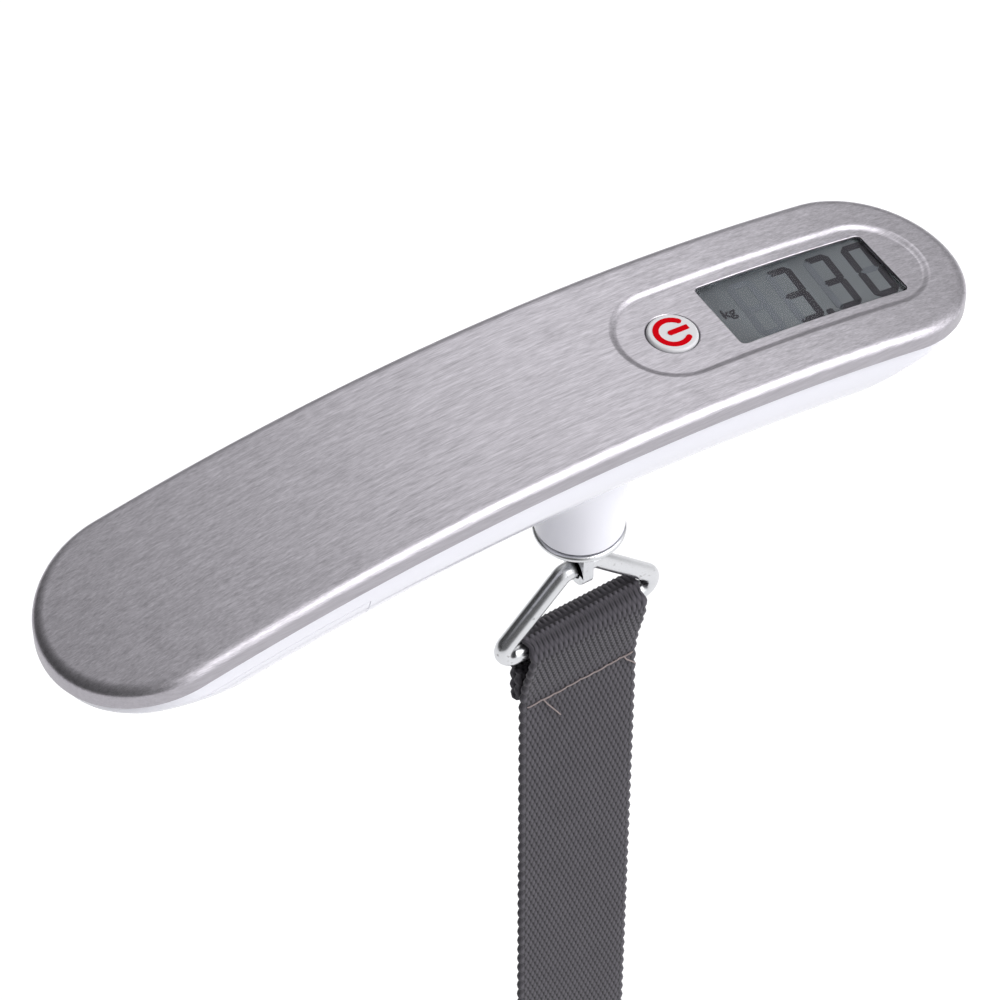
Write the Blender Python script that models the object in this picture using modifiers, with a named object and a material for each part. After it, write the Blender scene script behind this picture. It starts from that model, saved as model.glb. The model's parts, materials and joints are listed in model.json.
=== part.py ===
"""Digital luggage scale: an arched handle with a steel cover, a display and a load cell,
and a webbing strap with a snap hook that hangs from the neck.

X runs along the handle towards the display, Y across it and Z up. The origin is on top of
the steel cover, in the middle of the handle. Depths are measured down from the cover's top.
"""

from math import asin, atan2, cos, hypot, pi, radians, sin, sqrt

import bmesh
import bpy
from mathutils import Matrix, Vector

MM = 0.001

# Handle
HANDLE_LENGTH = 150.0 * MM
HANDLE_WIDTH = 31.8 * MM
ARCH_RADIUS = 320.0 * MM
ARCH_SPANS = 12  # the arch is made of this many straight spans
FIT = 0.3 * MM  # clearance between pieces that seat on one another
END_STEPS = 16  # facets in one round end of the handle

# Steel cover
PLATE_SHEET = 0.6 * MM
PLATE_EDGE_RADIUS = 1.2 * MM
PLATE_SKIRT = 3.2 * MM
RECESS_END = 5.7 * MM  # from the handle's end to the recess
RECESS_WIDTH = 17.2 * MM
RECESS_DEPTH = 0.45 * MM

# Upper shell
SHELL_SLAB = 1.7 * MM
SHELL_BLOCK_DEPTH = 3.6 * MM  # thicker area round the display and the button
SHELL_BLOCK_MARGIN = 2.0 * MM
TONGUE_WALL = 1.5 * MM
TONGUE_DEPTH = 5.0 * MM

# Lower housing
HOUSING_INSET = 1.0 * MM  # from the cover's skirt
HOUSING_DEPTH = 18.0 * MM
HOUSING_WALL = 1.8 * MM
HOUSING_ROUNDNESS = 2.3  # exponent of the section, where 2 is an ellipse
HOUSING_KEEL = 2.5 * MM  # half width of the flat along the bottom
HOUSING_TAPER = 16.0 * MM  # how far the bottom stops short of each end
SECTION_STEPS = 7

# Screws that join the two plastic halves
END_SCREW_PLACE = 6.6 * MM  # from each end of the handle
HOUSING_SCREW_RADIUS = 1.1 * MM
HOUSING_SCREW_HEAD_RADIUS = 2.0 * MM
HOUSING_SCREW_HEAD = 1.0 * MM
HOUSING_SCREW_LENGTH = 4.8 * MM
SCREW_SLEEVE_RADIUS = 3.2 * MM
SCREW_POST_RADIUS = 2.7 * MM

# Display
WINDOW_END = 5.8 * MM  # from the recess's end to the window
WINDOW_LENGTH = 29.4 * MM
WINDOW_WIDTH = 12.9 * MM
WINDOW_CORNER = 0.8 * MM
WINDOW_GAP = 0.25 * MM
LENS_DEPTH = 0.65 * MM
LENS_FLANGE = 1.9 * MM
LENS_FLANGE_THICKNESS = 0.7 * MM
LCD_PLACE = 4.8 * MM  # from where the display and the board are level with the arch
LCD_MARGIN = 0.9 * MM
LCD_THICKNESS = 1.6 * MM
LCD_DEPTH = 3.0 * MM
LCD_SIDE_GAP = 0.7 * MM
HOLDER_MARGIN = 1.0 * MM
HOLDER_END_WALL = 2.5 * MM
HOLDER_SIDE_WALL = 1.4 * MM
HOLDER_HEIGHT = 2.1 * MM
STRIP_WIDTH = 1.8 * MM

# Circuit board
BOARD_MARGIN = 1.3 * MM  # past the switch
BOARD_WIDTH = 18.0 * MM
BOARD_THICKNESS = 1.0 * MM
BLOB_RADIUS = 5.0 * MM
BLOB_HEIGHT = 1.6 * MM
SWITCH_SIDE = 6.0 * MM
SWITCH_HEIGHT = 1.9 * MM
PLUNGER_RADIUS = 1.7 * MM
PLUNGER_HEIGHT = 0.9 * MM
BOARD_SCREW_END = 2.0 * MM  # from the board's end
BOARD_SCREW_SIDE = 6.6 * MM  # from its middle
BOARD_SCREW_RADIUS = 0.8 * MM
BOARD_SCREW_HEAD_RADIUS = 1.6 * MM
BOARD_SCREW_HEAD = 1.0 * MM
BOARD_SCREW_LENGTH = 3.4 * MM
BOARD_POST_RADIUS = 2.0 * MM

# Button
BUTTON_TO_WINDOW = 3.85 * MM
BUTTON_RADIUS = 3.65 * MM
BUTTON_GAP = 0.3 * MM
BUTTON_TOP = 0.1 * MM  # depth of the cap's top
BUTTON_FLANGE_RADIUS = 4.4 * MM
BUTTON_FLANGE = 0.6 * MM
BUTTON_STEM_RADIUS = 1.6 * MM
BUTTON_TRAVEL = 0.4 * MM

# Battery
BATTERY_ROOM = 6.2 * MM  # between the end screw's sleeve and the tray
CELL_RADIUS = 10.0 * MM
CELL_THICKNESS = 3.2 * MM
TRAY_DEPTH = 4.8 * MM
TRAY_FLOOR = 1.0 * MM
TRAY_END = 0.8 * MM  # past the rim
TRAY_RIM = 0.9 * MM
TRAY_RIM_HEIGHT = 2.2 * MM
CONTACT_SHEET = 0.3 * MM
CONTACT_WIDTH = 5.0 * MM
DOOR_MARGIN = 2.7 * MM  # past the tray
DOOR_DEPTH = 7.6 * MM

# Load cell
BEAM_TO_BOARD = 4.9 * MM
BEAM_OVERHANG = 6.0 * MM  # past the stem
BEAM_WIDTH = 10.0 * MM
BEAM_THICKNESS = 5.2 * MM
BEAM_TOP = 7.5 * MM  # below the origin
BEAM_EYE_RADIUS = 1.9 * MM
BEAM_EYE_SPACING = 7.0 * MM
BEAM_SCREW_END = 3.4 * MM  # from the beam's end
BEAM_SCREW_SIDE = 2.6 * MM  # from its middle
BEAM_SCREW_RADIUS = 1.25 * MM
BEAM_SCREW_HEAD_RADIUS = 2.2 * MM
BEAM_SCREW_HEAD = 1.6 * MM
BEAM_SCREW_GRIP = 2.6 * MM  # length in the boss
BEAM_BOSS_RADIUS = 3.2 * MM
GAUGE_LENGTH = 6.0 * MM
GAUGE_WIDTH = 4.0 * MM
GAUGE_THICKNESS = 0.2 * MM

# Neck and pull stem
NECK_RADIUS = 6.8 * MM
NECK_BOTTOM = 33.3 * MM
NECK_FLARE = 9.0 * MM
NECK_BORE_RADIUS = 4.0 * MM
NECK_STEPS = 32
DISC_RADIUS = 7.15 * MM
DISC_THICKNESS = 1.1 * MM
STEM_ROD_RADIUS = 2.0 * MM
STEM_RADIUS = 3.4 * MM
STEM_BELOW_DISC = 1.4 * MM
STEM_ABOVE_NUT = 0.5 * MM
NUT_RADIUS = 3.6 * MM
NUT_HEIGHT = 2.4 * MM
TONGUE_WIDTH = 5.6 * MM
TONGUE_THICKNESS = 1.8 * MM

# Triangle ring
RING_WIRE = 1.45 * MM  # radius
RING_EYE = 43.3 * MM  # depth of the tongue's hole
RING_BAR = 56.6 * MM  # depth of the bar
RING_HALF_WIDTH = 14.85 * MM  # outside
RING_CORNER = 2.0 * MM
RING_APEX = 2.8 * MM  # where a leg bends into the hole
RING_APEX_BEND = 1.7 * MM
RING_END_GAP = 0.25 * MM

# Strap
STRAP_WIDTH = 21.2 * MM
STRAP_THICKNESS = 1.4 * MM
STRAP_DROP = 182.0 * MM  # from the ring's bar to the hook's bar
STRAP_LAP = 14.5 * MM  # where the folded ends are sewn down
STRAP_CLOSE = 9.0 * MM  # where the two layers meet under a bar

# Snap hook
HOOK_THICKNESS = 4.0 * MM
HOOK_BAR = 3.2 * MM
HOOK_SLOT_GAP = 0.6 * MM
HOOK_EYE_WALL = 3.0 * MM
HOOK_BRIDGE = 4.6 * MM
HOOK_ARM = 4.3 * MM
HOOK_INSIDE = 7.2 * MM  # half width
HOOK_THROAT = 20.5 * MM  # from the bridge down to where the bowl starts
HOOK_SEAT = 4.0 * MM  # flat in the middle of the bowl
HOOK_NOSE = 4.0 * MM
HOOK_EAR = 5.2 * MM
GATE_WIRE = 0.8 * MM  # radius
GATE_SIDE_GAP = 0.4 * MM
GATE_BEND = 1.2 * MM

# Leads
LEAD_RADIUS = 0.6 * MM

# Places along the handle, from its display end to its battery end
RECESS_RIGHT = HANDLE_LENGTH / 2 - RECESS_END
WINDOW_CENTRE = RECESS_RIGHT - WINDOW_END - WINDOW_LENGTH / 2
BUTTON_HOLE = BUTTON_RADIUS + BUTTON_GAP
BUTTON_PLACE = WINDOW_CENTRE - WINDOW_LENGTH / 2 - BUTTON_TO_WINDOW - BUTTON_HOLE
RECESS_LENGTH = RECESS_RIGHT - BUTTON_PLACE + RECESS_WIDTH / 2
RECESS_CENTRE = RECESS_RIGHT - RECESS_LENGTH / 2
DISPLAY_STATION = WINDOW_CENTRE - LCD_PLACE
BOARD_LEFT = BUTTON_PLACE - DISPLAY_STATION - SWITCH_SIDE / 2 - BOARD_MARGIN
BOARD_RIGHT = LCD_PLACE + WINDOW_LENGTH / 2
BEAM_RIGHT = DISPLAY_STATION + BOARD_LEFT - BEAM_TO_BOARD
NECK_PLACE = BEAM_RIGHT - BEAM_OVERHANG
LEFT_SCREW = END_SCREW_PLACE - HANDLE_LENGTH / 2
RIGHT_SCREW = HANDLE_LENGTH / 2 - END_SCREW_PLACE
TRAY_HALF_LENGTH = CELL_RADIUS + FIT + TRAY_RIM + TRAY_END
BATTERY_STATION = LEFT_SCREW + SCREW_SLEEVE_RADIUS + BATTERY_ROOM + TRAY_HALF_LENGTH
DOOR_LEFT = BATTERY_STATION - TRAY_HALF_LENGTH - DOOR_MARGIN
DOOR_RIGHT = BATTERY_STATION + TRAY_HALF_LENGTH + DOOR_MARGIN
MIDDLE_SCREW = DOOR_RIGHT + FIT + SCREW_POST_RADIUS
HOUSING_SCREW_PLACES = (LEFT_SCREW, MIDDLE_SCREW, RIGHT_SCREW)
BEAM_LEFT = MIDDLE_SCREW + SCREW_POST_RADIUS + FIT
BEAM_SCREW_PLACE = BEAM_LEFT + BEAM_SCREW_END
BEAM_EYE_CENTRE = (BEAM_SCREW_PLACE + BEAM_SCREW_HEAD_RADIUS + NECK_PLACE - NUT_RADIUS) / 2

TONGUE_OUTSIDE = HANDLE_WIDTH - 2 * (HOUSING_INSET + HOUSING_WALL + FIT)
TONGUE_INSIDE = TONGUE_OUTSIDE - 2 * TONGUE_WALL
PLATE_UNDER = PLATE_SHEET + FIT
SLAB_BOTTOM = PLATE_UNDER + SHELL_SLAB
PAN_BOTTOM = RECESS_DEPTH + PLATE_SHEET
HOUSING_TOP = SLAB_BOTTOM + FIT
TAPER_TOP = TONGUE_DEPTH + FIT + HOUSING_WALL / 2
LENS_FLANGE_TOP = PAN_BOTTOM + FIT
LENS_BOTTOM = LENS_FLANGE_TOP + LENS_FLANGE_THICKNESS
LCD_LENGTH = WINDOW_LENGTH + 2 * LCD_MARGIN
LCD_WIDTH = WINDOW_WIDTH + 2 * LCD_MARGIN
HOLDER_TOP = LCD_DEPTH + LCD_THICKNESS + FIT
BOARD_TOP = HOLDER_TOP + HOLDER_HEIGHT + FIT
BOARD_BOTTOM = BOARD_TOP + BOARD_THICKNESS
TRAY_FLOOR_BOTTOM = TRAY_DEPTH + TRAY_FLOOR
CONTACT_TOP = TRAY_FLOOR_BOTTOM + FIT
CELL_TOP = CONTACT_TOP + CONTACT_SHEET + FIT
BEAM_BOTTOM = BEAM_TOP + BEAM_THICKNESS
DISC_TOP = NECK_BOTTOM + FIT
DISC_BOTTOM = DISC_TOP + DISC_THICKNESS
HOOK_LEVEL = RING_BAR + STRAP_DROP
HOOK_HOLE = hypot(HOOK_THICKNESS, HOOK_BAR) / 2 + FIT
HOOK_LOOP = HOOK_HOLE + STRAP_THICKNESS

# Stands a flat outline up: drawn as (x, z) or as (y, z).
FACING_Y = Matrix.Rotation(pi / 2, 4, "X")
FACING_X = Matrix.Rotation(pi / 2, 4, "Z") @ FACING_Y


def clear_scene():
    for old in list(bpy.data.objects):
        bpy.data.objects.remove(old, do_unlink=True)


def link(name, data):
    made = bpy.data.objects.new(name, data)
    bpy.context.scene.collection.objects.link(made)
    return made


def bake(piece):
    """Replaces a piece's mesh by what its modifiers make of it."""
    bpy.context.view_layer.update()
    graph = bpy.context.evaluated_depsgraph_get()
    mesh = bpy.data.meshes.new_from_object(piece.evaluated_get(graph))
    piece.modifiers.clear()
    piece.data = mesh
    return piece


def edit(piece, change):
    """Runs change on the piece's bmesh."""
    work = bmesh.new()
    work.from_mesh(piece.data)
    change(work)
    work.to_mesh(piece.data)
    work.free()
    return piece


def outward(work):
    bmesh.ops.remove_doubles(work, verts=work.verts, dist=1e-7)
    bmesh.ops.recalc_face_normals(work, faces=work.faces)


def combine(piece, tool, operation):
    joined = piece.modifiers.new(operation.lower(), "BOOLEAN")
    joined.operation = operation
    joined.object = tool
    bake(piece)
    bpy.data.objects.remove(tool, do_unlink=True)
    return piece


def cut(piece, *tools):
    for tool in tools:
        combine(piece, tool, "DIFFERENCE")
    return piece


def join(piece, *tools):
    for tool in tools:
        combine(piece, tool, "UNION")
    return piece


def copy_of(piece):
    return link(piece.name, piece.data.copy())


def box(low, high):
    work = bmesh.new()
    bmesh.ops.create_cube(work, size=1.0)
    low, high = Vector(low), Vector(high)
    bmesh.ops.scale(work, vec=high - low, verts=work.verts)
    bmesh.ops.translate(work, vec=(low + high) / 2, verts=work.verts)
    mesh = bpy.data.meshes.new("box")
    work.to_mesh(mesh)
    work.free()
    return link("box", mesh)


def cylinder(radius, bottom, top, x=0.0, y=0.0, steps=24):
    work = bmesh.new()
    bmesh.ops.create_cone(
        work, cap_ends=True, segments=steps, radius1=radius, radius2=radius, depth=top - bottom
    )
    bmesh.ops.translate(work, vec=(x, y, (bottom + top) / 2), verts=work.verts)
    mesh = bpy.data.meshes.new("cylinder")
    work.to_mesh(mesh)
    work.free()
    return link("cylinder", mesh)


def turned(profile, closed=False, steps=32):
    """A turned solid from (radius, height) points that run down its outer side."""
    count = len(profile)
    edges = [(i, i + 1) for i in range(count - 1)]
    if closed:
        edges.append((count - 1, 0))
    mesh = bpy.data.meshes.new("profile")
    mesh.from_pydata([(radius, 0, height) for radius, height in profile], edges, [])
    piece = link("profile", mesh)
    screw = piece.modifiers.new("turn", "SCREW")
    screw.steps = screw.render_steps = steps
    screw.use_merge_vertices = True
    screw.merge_threshold = 1e-6
    return edit(bake(piece), outward)


def prism(outlines, bottom, top):
    """A flat outline, with any holes, between two heights."""
    curve = bpy.data.curves.new("outline", "CURVE")
    curve.dimensions = "2D"
    curve.fill_mode = "BOTH"
    curve.extrude = (top - bottom) / 2
    for outline in outlines:
        spline = curve.splines.new("POLY")
        spline.points.add(len(outline) - 1)
        for point, (x, y) in zip(spline.points, outline):
            point.co = (x, y, 0, 1)
        spline.use_cyclic_u = True
    flat = link("outline", curve)
    bpy.context.view_layer.update()
    graph = bpy.context.evaluated_depsgraph_get()
    mesh = bpy.data.meshes.new_from_object(flat.evaluated_get(graph))
    bpy.data.objects.remove(flat, do_unlink=True)
    piece = link("prism", mesh)
    mesh.transform(Matrix.Translation((0, 0, (bottom + top) / 2)))
    return edit(piece, outward)


def tube(points, radius, resolution=2):
    """A wire along points that are close enough together to look smooth."""
    curve = bpy.data.curves.new("wire", "CURVE")
    curve.dimensions = "3D"
    curve.bevel_depth = radius
    curve.bevel_resolution = resolution
    curve.use_fill_caps = True
    spline = curve.splines.new("POLY")
    spline.points.add(len(points) - 1)
    for point, place in zip(spline.points, points):
        point.co = (*place, 1)
    wire = link("wire", curve)
    bpy.context.view_layer.update()
    graph = bpy.context.evaluated_depsgraph_get()
    mesh = bpy.data.meshes.new_from_object(wire.evaluated_get(graph))
    bpy.data.objects.remove(wire, do_unlink=True)
    return edit(link("wire", mesh), outward)


def loft(rings):
    """A closed skin over rings that have as many points each."""
    work = bmesh.new()
    loops = [[work.verts.new(place) for place in ring] for ring in rings]
    count = len(rings[0])
    for upper, lower in zip(loops, loops[1:]):
        for i in range(count):
            j = (i + 1) % count
            work.faces.new((upper[i], lower[i], lower[j], upper[j]))
    work.faces.new(loops[0])
    work.faces.new(loops[-1])
    bmesh.ops.recalc_face_normals(work, faces=work.faces)
    mesh = bpy.data.meshes.new("loft")
    work.to_mesh(mesh)
    work.free()
    return link("loft", mesh)


def arc(centre, radius, start, end, steps):
    """Points on an arc, ends included, with angles in radians."""
    return [
        (
            centre[0] + radius * cos(start + (end - start) * i / steps),
            centre[1] + radius * sin(start + (end - start) * i / steps),
        )
        for i in range(steps + 1)
    ]


def stadium(length, width, centre=0.0):
    """A strip with half-round ends, along X."""
    radius = width / 2
    reach = length / 2 - radius
    right = arc((centre + reach, 0), radius, -pi / 2, pi / 2, END_STEPS)
    left = arc((centre - reach, 0), radius, pi / 2, 3 * pi / 2, END_STEPS)
    return right + left


def rounded(length, width, radius, centre=(0.0, 0.0), steps=3):
    """A rectangle with round corners."""
    outline = []
    for quarter, (sx, sy) in enumerate(((1, 1), (-1, 1), (-1, -1), (1, -1))):
        corner = (centre[0] + sx * (length / 2 - radius), centre[1] + sy * (width / 2 - radius))
        outline += arc(corner, radius, quarter * pi / 2, (quarter + 1) * pi / 2, steps)
    return outline


def filleted(points, radius, steps=4):
    """A path through 3-D points whose inner corners are rounded."""
    path = [Vector(points[0])]
    for before, corner, after in zip(points, points[1:], points[2:]):
        corner = Vector(corner)
        back = (Vector(before) - corner).normalized()
        ahead = (Vector(after) - corner).normalized()
        half = back.angle(ahead) / 2
        middle = corner + (back + ahead).normalized() * (radius / sin(half))
        start = corner + back * (radius * cos(half) / sin(half)) - middle
        turn = ahead.cross(back).normalized()
        for i in range(steps + 1):
            angle = (pi - 2 * half) * i / steps
            path.append(middle + Matrix.Rotation(angle, 3, turn) @ start)
    path.append(Vector(points[-1]))
    return path


def arch_height(x):
    """Height of the handle's top at x: a circle, straight between the stations."""
    span = HANDLE_LENGTH / ARCH_SPANS
    left = span * ((x + HANDLE_LENGTH / 2) // span) - HANDLE_LENGTH / 2
    low, high = (sqrt(ARCH_RADIUS**2 - place**2) - ARCH_RADIUS for place in (left, left + span))
    return low + (high - low) * (x - left) / span


def arched(piece):
    """Bends a piece that was made flat to the handle's arch."""

    def bend(work):
        bmesh.ops.triangulate(work, faces=work.faces)
        for i in range(1, ARCH_SPANS):
            station = (i / ARCH_SPANS - 0.5) * HANDLE_LENGTH
            bmesh.ops.bisect_plane(
                work,
                geom=work.verts[:] + work.edges[:] + work.faces[:],
                plane_co=(station, 0, 0),
                plane_no=(1, 0, 0),
                dist=1e-8,
            )
        for vertex in work.verts:
            vertex.co.z += arch_height(vertex.co.x)

    return edit(piece, bend)


def pan(levels):
    """A solid whose outline follows the handle's plan, from (inset, depth) levels."""
    rings = []
    for inset, depth in levels:
        outline = stadium(HANDLE_LENGTH - 2 * inset, HANDLE_WIDTH - 2 * inset)
        rings.append([(x, y, -depth) for x, y in outline])
    return loft(rings)


def edge_levels(offset, steps=4):
    """Levels of the cover's rounded edge, offset inwards."""
    radius = PLATE_EDGE_RADIUS - offset
    levels = []
    for i in range(steps + 1):
        angle = pi / 2 * i / steps
        levels.append((offset + radius * (1 - sin(angle)), offset + radius * (1 - cos(angle))))
    return levels


def hull_levels(wall):
    """Levels of the housing's section, inside a wall."""
    half = HANDLE_WIDTH / 2 - HOUSING_INSET - wall
    height = HOUSING_DEPTH - HOUSING_TOP - wall
    power = 2 / HOUSING_ROUNDNESS
    # The second level is where the ends start to taper.
    upright = asin(((TONGUE_DEPTH + FIT - HOUSING_TOP) / height) ** (1 / power))
    angles = [0, upright] + [pi / 2 * i / SECTION_STEPS for i in range(1, SECTION_STEPS + 1)]
    levels = []
    for angle in angles:
        across = max(half * cos(angle) ** power, HOUSING_KEEL)
        levels.append((HANDLE_WIDTH / 2 - across, HOUSING_TOP + height * sin(angle) ** power))
    return levels


def end_taper(depth):
    """How far the housing stops short of the handle's ends at a depth."""
    return HOUSING_TAPER * max(depth - TAPER_TOP, 0) / (HOUSING_DEPTH - TAPER_TOP)


def hull(wall, above=HOUSING_TOP):
    """The housing's outer shape, or the room inside a wall of it, from a depth down."""
    levels = hull_levels(wall)
    if above < HOUSING_TOP:
        levels.insert(0, (levels[0][0], above))
    rings = []
    for inset, depth in levels:
        reach = HANDLE_LENGTH - 2 * (inset + end_taper(depth + wall / 2))
        rings.append([(x, y, -depth) for x, y in stadium(reach, HANDLE_WIDTH - 2 * inset)])
    return loft(rings)


def station(name, x):
    """An empty on the handle's top at x, level with the arch there."""
    frame = link(name, None)
    frame.location = (x, 0, arch_height(x))
    frame.rotation_euler = (0, asin(x / ARCH_RADIUS), 0)
    return frame


def at_station(frame, place):
    bpy.context.view_layer.update()
    return frame.matrix_world @ Vector(place)


def look(name, colour, roughness, metallic=0.0):
    found = bpy.data.materials.new(name)
    found.use_nodes = True
    shader = found.node_tree.nodes["Principled BSDF"]
    shader.inputs["Base Color"].default_value = (*colour, 1.0)
    shader.inputs["Roughness"].default_value = roughness
    shader.inputs["Metallic"].default_value = metallic
    return found


def finish(piece, name, material, parent=None):
    """Names a piece, colours it and puts it with the parts."""
    piece.name = name
    piece.data.name = name
    piece.data.materials.clear()
    piece.data.materials.append(material)
    piece.data.shade_smooth()
    piece.data.set_sharp_from_angle(angle=radians(35))
    piece.parent = parent
    bpy.context.scene.collection.objects.unlink(piece)
    PARTS.objects.link(piece)
    return piece


def make_plate():
    outer = pan(edge_levels(0) + [(0, PLATE_SKIRT)])
    inner = pan(edge_levels(PLATE_SHEET) + [(PLATE_SHEET, PLATE_SKIRT + PLATE_SHEET)])
    plate = cut(outer, inner)
    rim = 2 * PLATE_SHEET
    basin = stadium(RECESS_LENGTH + rim, RECESS_WIDTH + rim, RECESS_CENTRE)
    join(plate, prism([basin], -PAN_BOTTOM, -PLATE_SHEET / 2))
    hollow = stadium(RECESS_LENGTH, RECESS_WIDTH, RECESS_CENTRE)
    cut(plate, prism([hollow], -RECESS_DEPTH, PLATE_SHEET))
    window = rounded(WINDOW_LENGTH, WINDOW_WIDTH, WINDOW_CORNER, (WINDOW_CENTRE, 0))
    cut(plate, prism([window], -PAN_BOTTOM - PLATE_SHEET, PLATE_SHEET))
    cut(plate, cylinder(BUTTON_HOLE, -PAN_BOTTOM - PLATE_SHEET, PLATE_SHEET, BUTTON_PLACE))
    finish(arched(plate), "top_plate", STEEL)


def make_upper_shell():
    shell = pan(edge_levels(PLATE_UNDER) + [(PLATE_UNDER, SLAB_BOTTOM)])
    # A wall inside the housing's rim locates the two halves.
    straight = HANDLE_LENGTH - HANDLE_WIDTH
    outside = stadium(straight + TONGUE_OUTSIDE, TONGUE_OUTSIDE)
    inside = stadium(straight + TONGUE_INSIDE, TONGUE_INSIDE)
    join(shell, prism([outside, inside], -TONGUE_DEPTH, -SLAB_BOTTOM + FIT))
    block = RECESS_LENGTH + 2 * SHELL_BLOCK_MARGIN
    block_width = RECESS_WIDTH + 2 * SHELL_BLOCK_MARGIN
    join(
        shell,
        prism([stadium(block, block_width, RECESS_CENTRE)], -SHELL_BLOCK_DEPTH, -SLAB_BOTTOM + FIT),
    )
    for x in HOUSING_SCREW_PLACES:
        join(shell, cylinder(SCREW_SLEEVE_RADIUS, -TONGUE_DEPTH, -SLAB_BOTTOM + FIT, x))
    over = PLATE_UNDER
    rim = 2 * PLATE_UNDER
    basin = stadium(RECESS_LENGTH + rim, RECESS_WIDTH + rim, RECESS_CENTRE)
    cut(shell, prism([basin], -LENS_FLANGE_TOP, over))
    flange = 2 * (LENS_FLANGE + FIT)
    pocket = rounded(
        WINDOW_LENGTH + flange, WINDOW_WIDTH + flange, WINDOW_CORNER, (WINDOW_CENTRE, 0)
    )
    cut(shell, prism([pocket], -LENS_BOTTOM - FIT, over))
    opening = rounded(
        LCD_LENGTH + 2 * LCD_SIDE_GAP, LCD_WIDTH + LCD_SIDE_GAP, WINDOW_CORNER, (WINDOW_CENTRE, 0)
    )
    cut(shell, prism([opening], -TONGUE_DEPTH, over))
    cut(shell, cylinder(BUTTON_FLANGE_RADIUS + FIT, -TONGUE_DEPTH, over, BUTTON_PLACE))
    for x in HOUSING_SCREW_PLACES:
        cut(shell, cylinder(HOUSING_SCREW_RADIUS + FIT, -2 * TONGUE_DEPTH, over, x))
        seat = LENS_FLANGE_TOP + HOUSING_SCREW_HEAD + FIT
        cut(shell, cylinder(HOUSING_SCREW_HEAD_RADIUS + FIT, -seat, over, x))
    arched(shell)
    # The posts for the board stand square to it.
    x = BOARD_LEFT + BOARD_SCREW_END
    for y in (-BOARD_SCREW_SIDE, BOARD_SCREW_SIDE):
        post = cylinder(BOARD_POST_RADIUS, FIT - BOARD_TOP, -SLAB_BOTTOM - FIT, x, y)
        pilot = cylinder(BOARD_SCREW_RADIUS + FIT, -2 * BOARD_TOP, -SLAB_BOTTOM - FIT, x, y)
        for tool in (post, pilot):
            tool.data.transform(DISPLAY.matrix_world)
        cut(join(shell, post), pilot)
    finish(shell, "upper_shell", SHELL_PLASTIC)


def make_housing_screws():
    for number, x in enumerate(HOUSING_SCREW_PLACES, 1):
        top = -LENS_FLANGE_TOP
        shoulder = top - HOUSING_SCREW_HEAD
        profile = [
            (0, top),
            (HOUSING_SCREW_HEAD_RADIUS, top),
            (HOUSING_SCREW_HEAD_RADIUS, shoulder),
            (HOUSING_SCREW_RADIUS, shoulder),
            (HOUSING_SCREW_RADIUS, shoulder - HOUSING_SCREW_LENGTH),
            (0, shoulder - HOUSING_SCREW_LENGTH),
        ]
        screw = turned(profile, steps=16)
        screw.data.transform(Matrix.Translation((x, 0, 0)))
        finish(arched(screw), f"housing_screw_{number}", ZINC)


def neck_rings():
    """Rings of the neck, from inside the housing's floor down to its rim."""
    floor = HOUSING_DEPTH - HOUSING_WALL / 2
    flare_end = HOUSING_DEPTH + NECK_FLARE
    levels = [(NECK_FLARE, floor)]
    for i in range(SECTION_STEPS + 1):
        angle = pi / 2 * i / SECTION_STEPS
        levels.append((NECK_FLARE * (1 - sin(angle)), flare_end - NECK_FLARE * cos(angle)))
    levels.append((0, NECK_BOTTOM))
    rings = []
    for spread, depth in levels:
        ring = []
        for i in range(NECK_STEPS):
            angle = 2 * pi * i / NECK_STEPS
            x = NECK_PLACE + (NECK_RADIUS + spread) * cos(angle)
            ring.append((x, NECK_RADIUS * sin(angle), -depth))
        rings.append(ring)
    return rings


def make_housing():
    shell = cut(hull(0), hull(HOUSING_WALL, HOUSING_TOP - HOUSING_WALL))
    for x in HOUSING_SCREW_PLACES:
        post = cylinder(SCREW_POST_RADIUS, -HOUSING_DEPTH, -TONGUE_DEPTH - FIT, x)
        combine(post, hull(HOUSING_WALL / 2), "INTERSECT")
        join(shell, post)
        reach = LENS_FLANGE_TOP + HOUSING_SCREW_HEAD + HOUSING_SCREW_LENGTH + 2 * FIT
        cut(shell, cylinder(HOUSING_SCREW_RADIUS + FIT, -reach, 0, x))
    below = 2 * HOUSING_DEPTH
    half = HANDLE_WIDTH / 2
    door = copy_of(shell)
    cut(shell, box((DOOR_LEFT, -half, -below), (DOOR_RIGHT, half, -DOOR_DEPTH)))
    edge = (DOOR_RIGHT - FIT, half, -DOOR_DEPTH - FIT)
    combine(door, box((DOOR_LEFT + FIT, -half, -below), edge), "INTERSECT")
    finish(arched(door), "battery_cover", WHITE, link("battery_cover_slide", None))

    arched(shell)
    join(shell, loft(neck_rings()))
    floor = HOUSING_DEPTH - HOUSING_WALL / 2
    depth = BEAM_BOTTOM + BEAM_SCREW_GRIP + FIT
    for y in (-BEAM_SCREW_SIDE, BEAM_SCREW_SIDE):
        join(shell, cylinder(BEAM_BOSS_RADIUS, -floor, -BEAM_BOTTOM - FIT, BEAM_SCREW_PLACE, y))
    for y in (-BEAM_SCREW_SIDE, BEAM_SCREW_SIDE):
        cut(shell, cylinder(BEAM_SCREW_RADIUS + FIT, -depth, -BEAM_TOP, BEAM_SCREW_PLACE, y))
    cut(shell, cylinder(NECK_BORE_RADIUS, -2 * NECK_BOTTOM, -BEAM_BOTTOM, NECK_PLACE))
    finish(shell, "lower_housing", WHITE)


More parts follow.
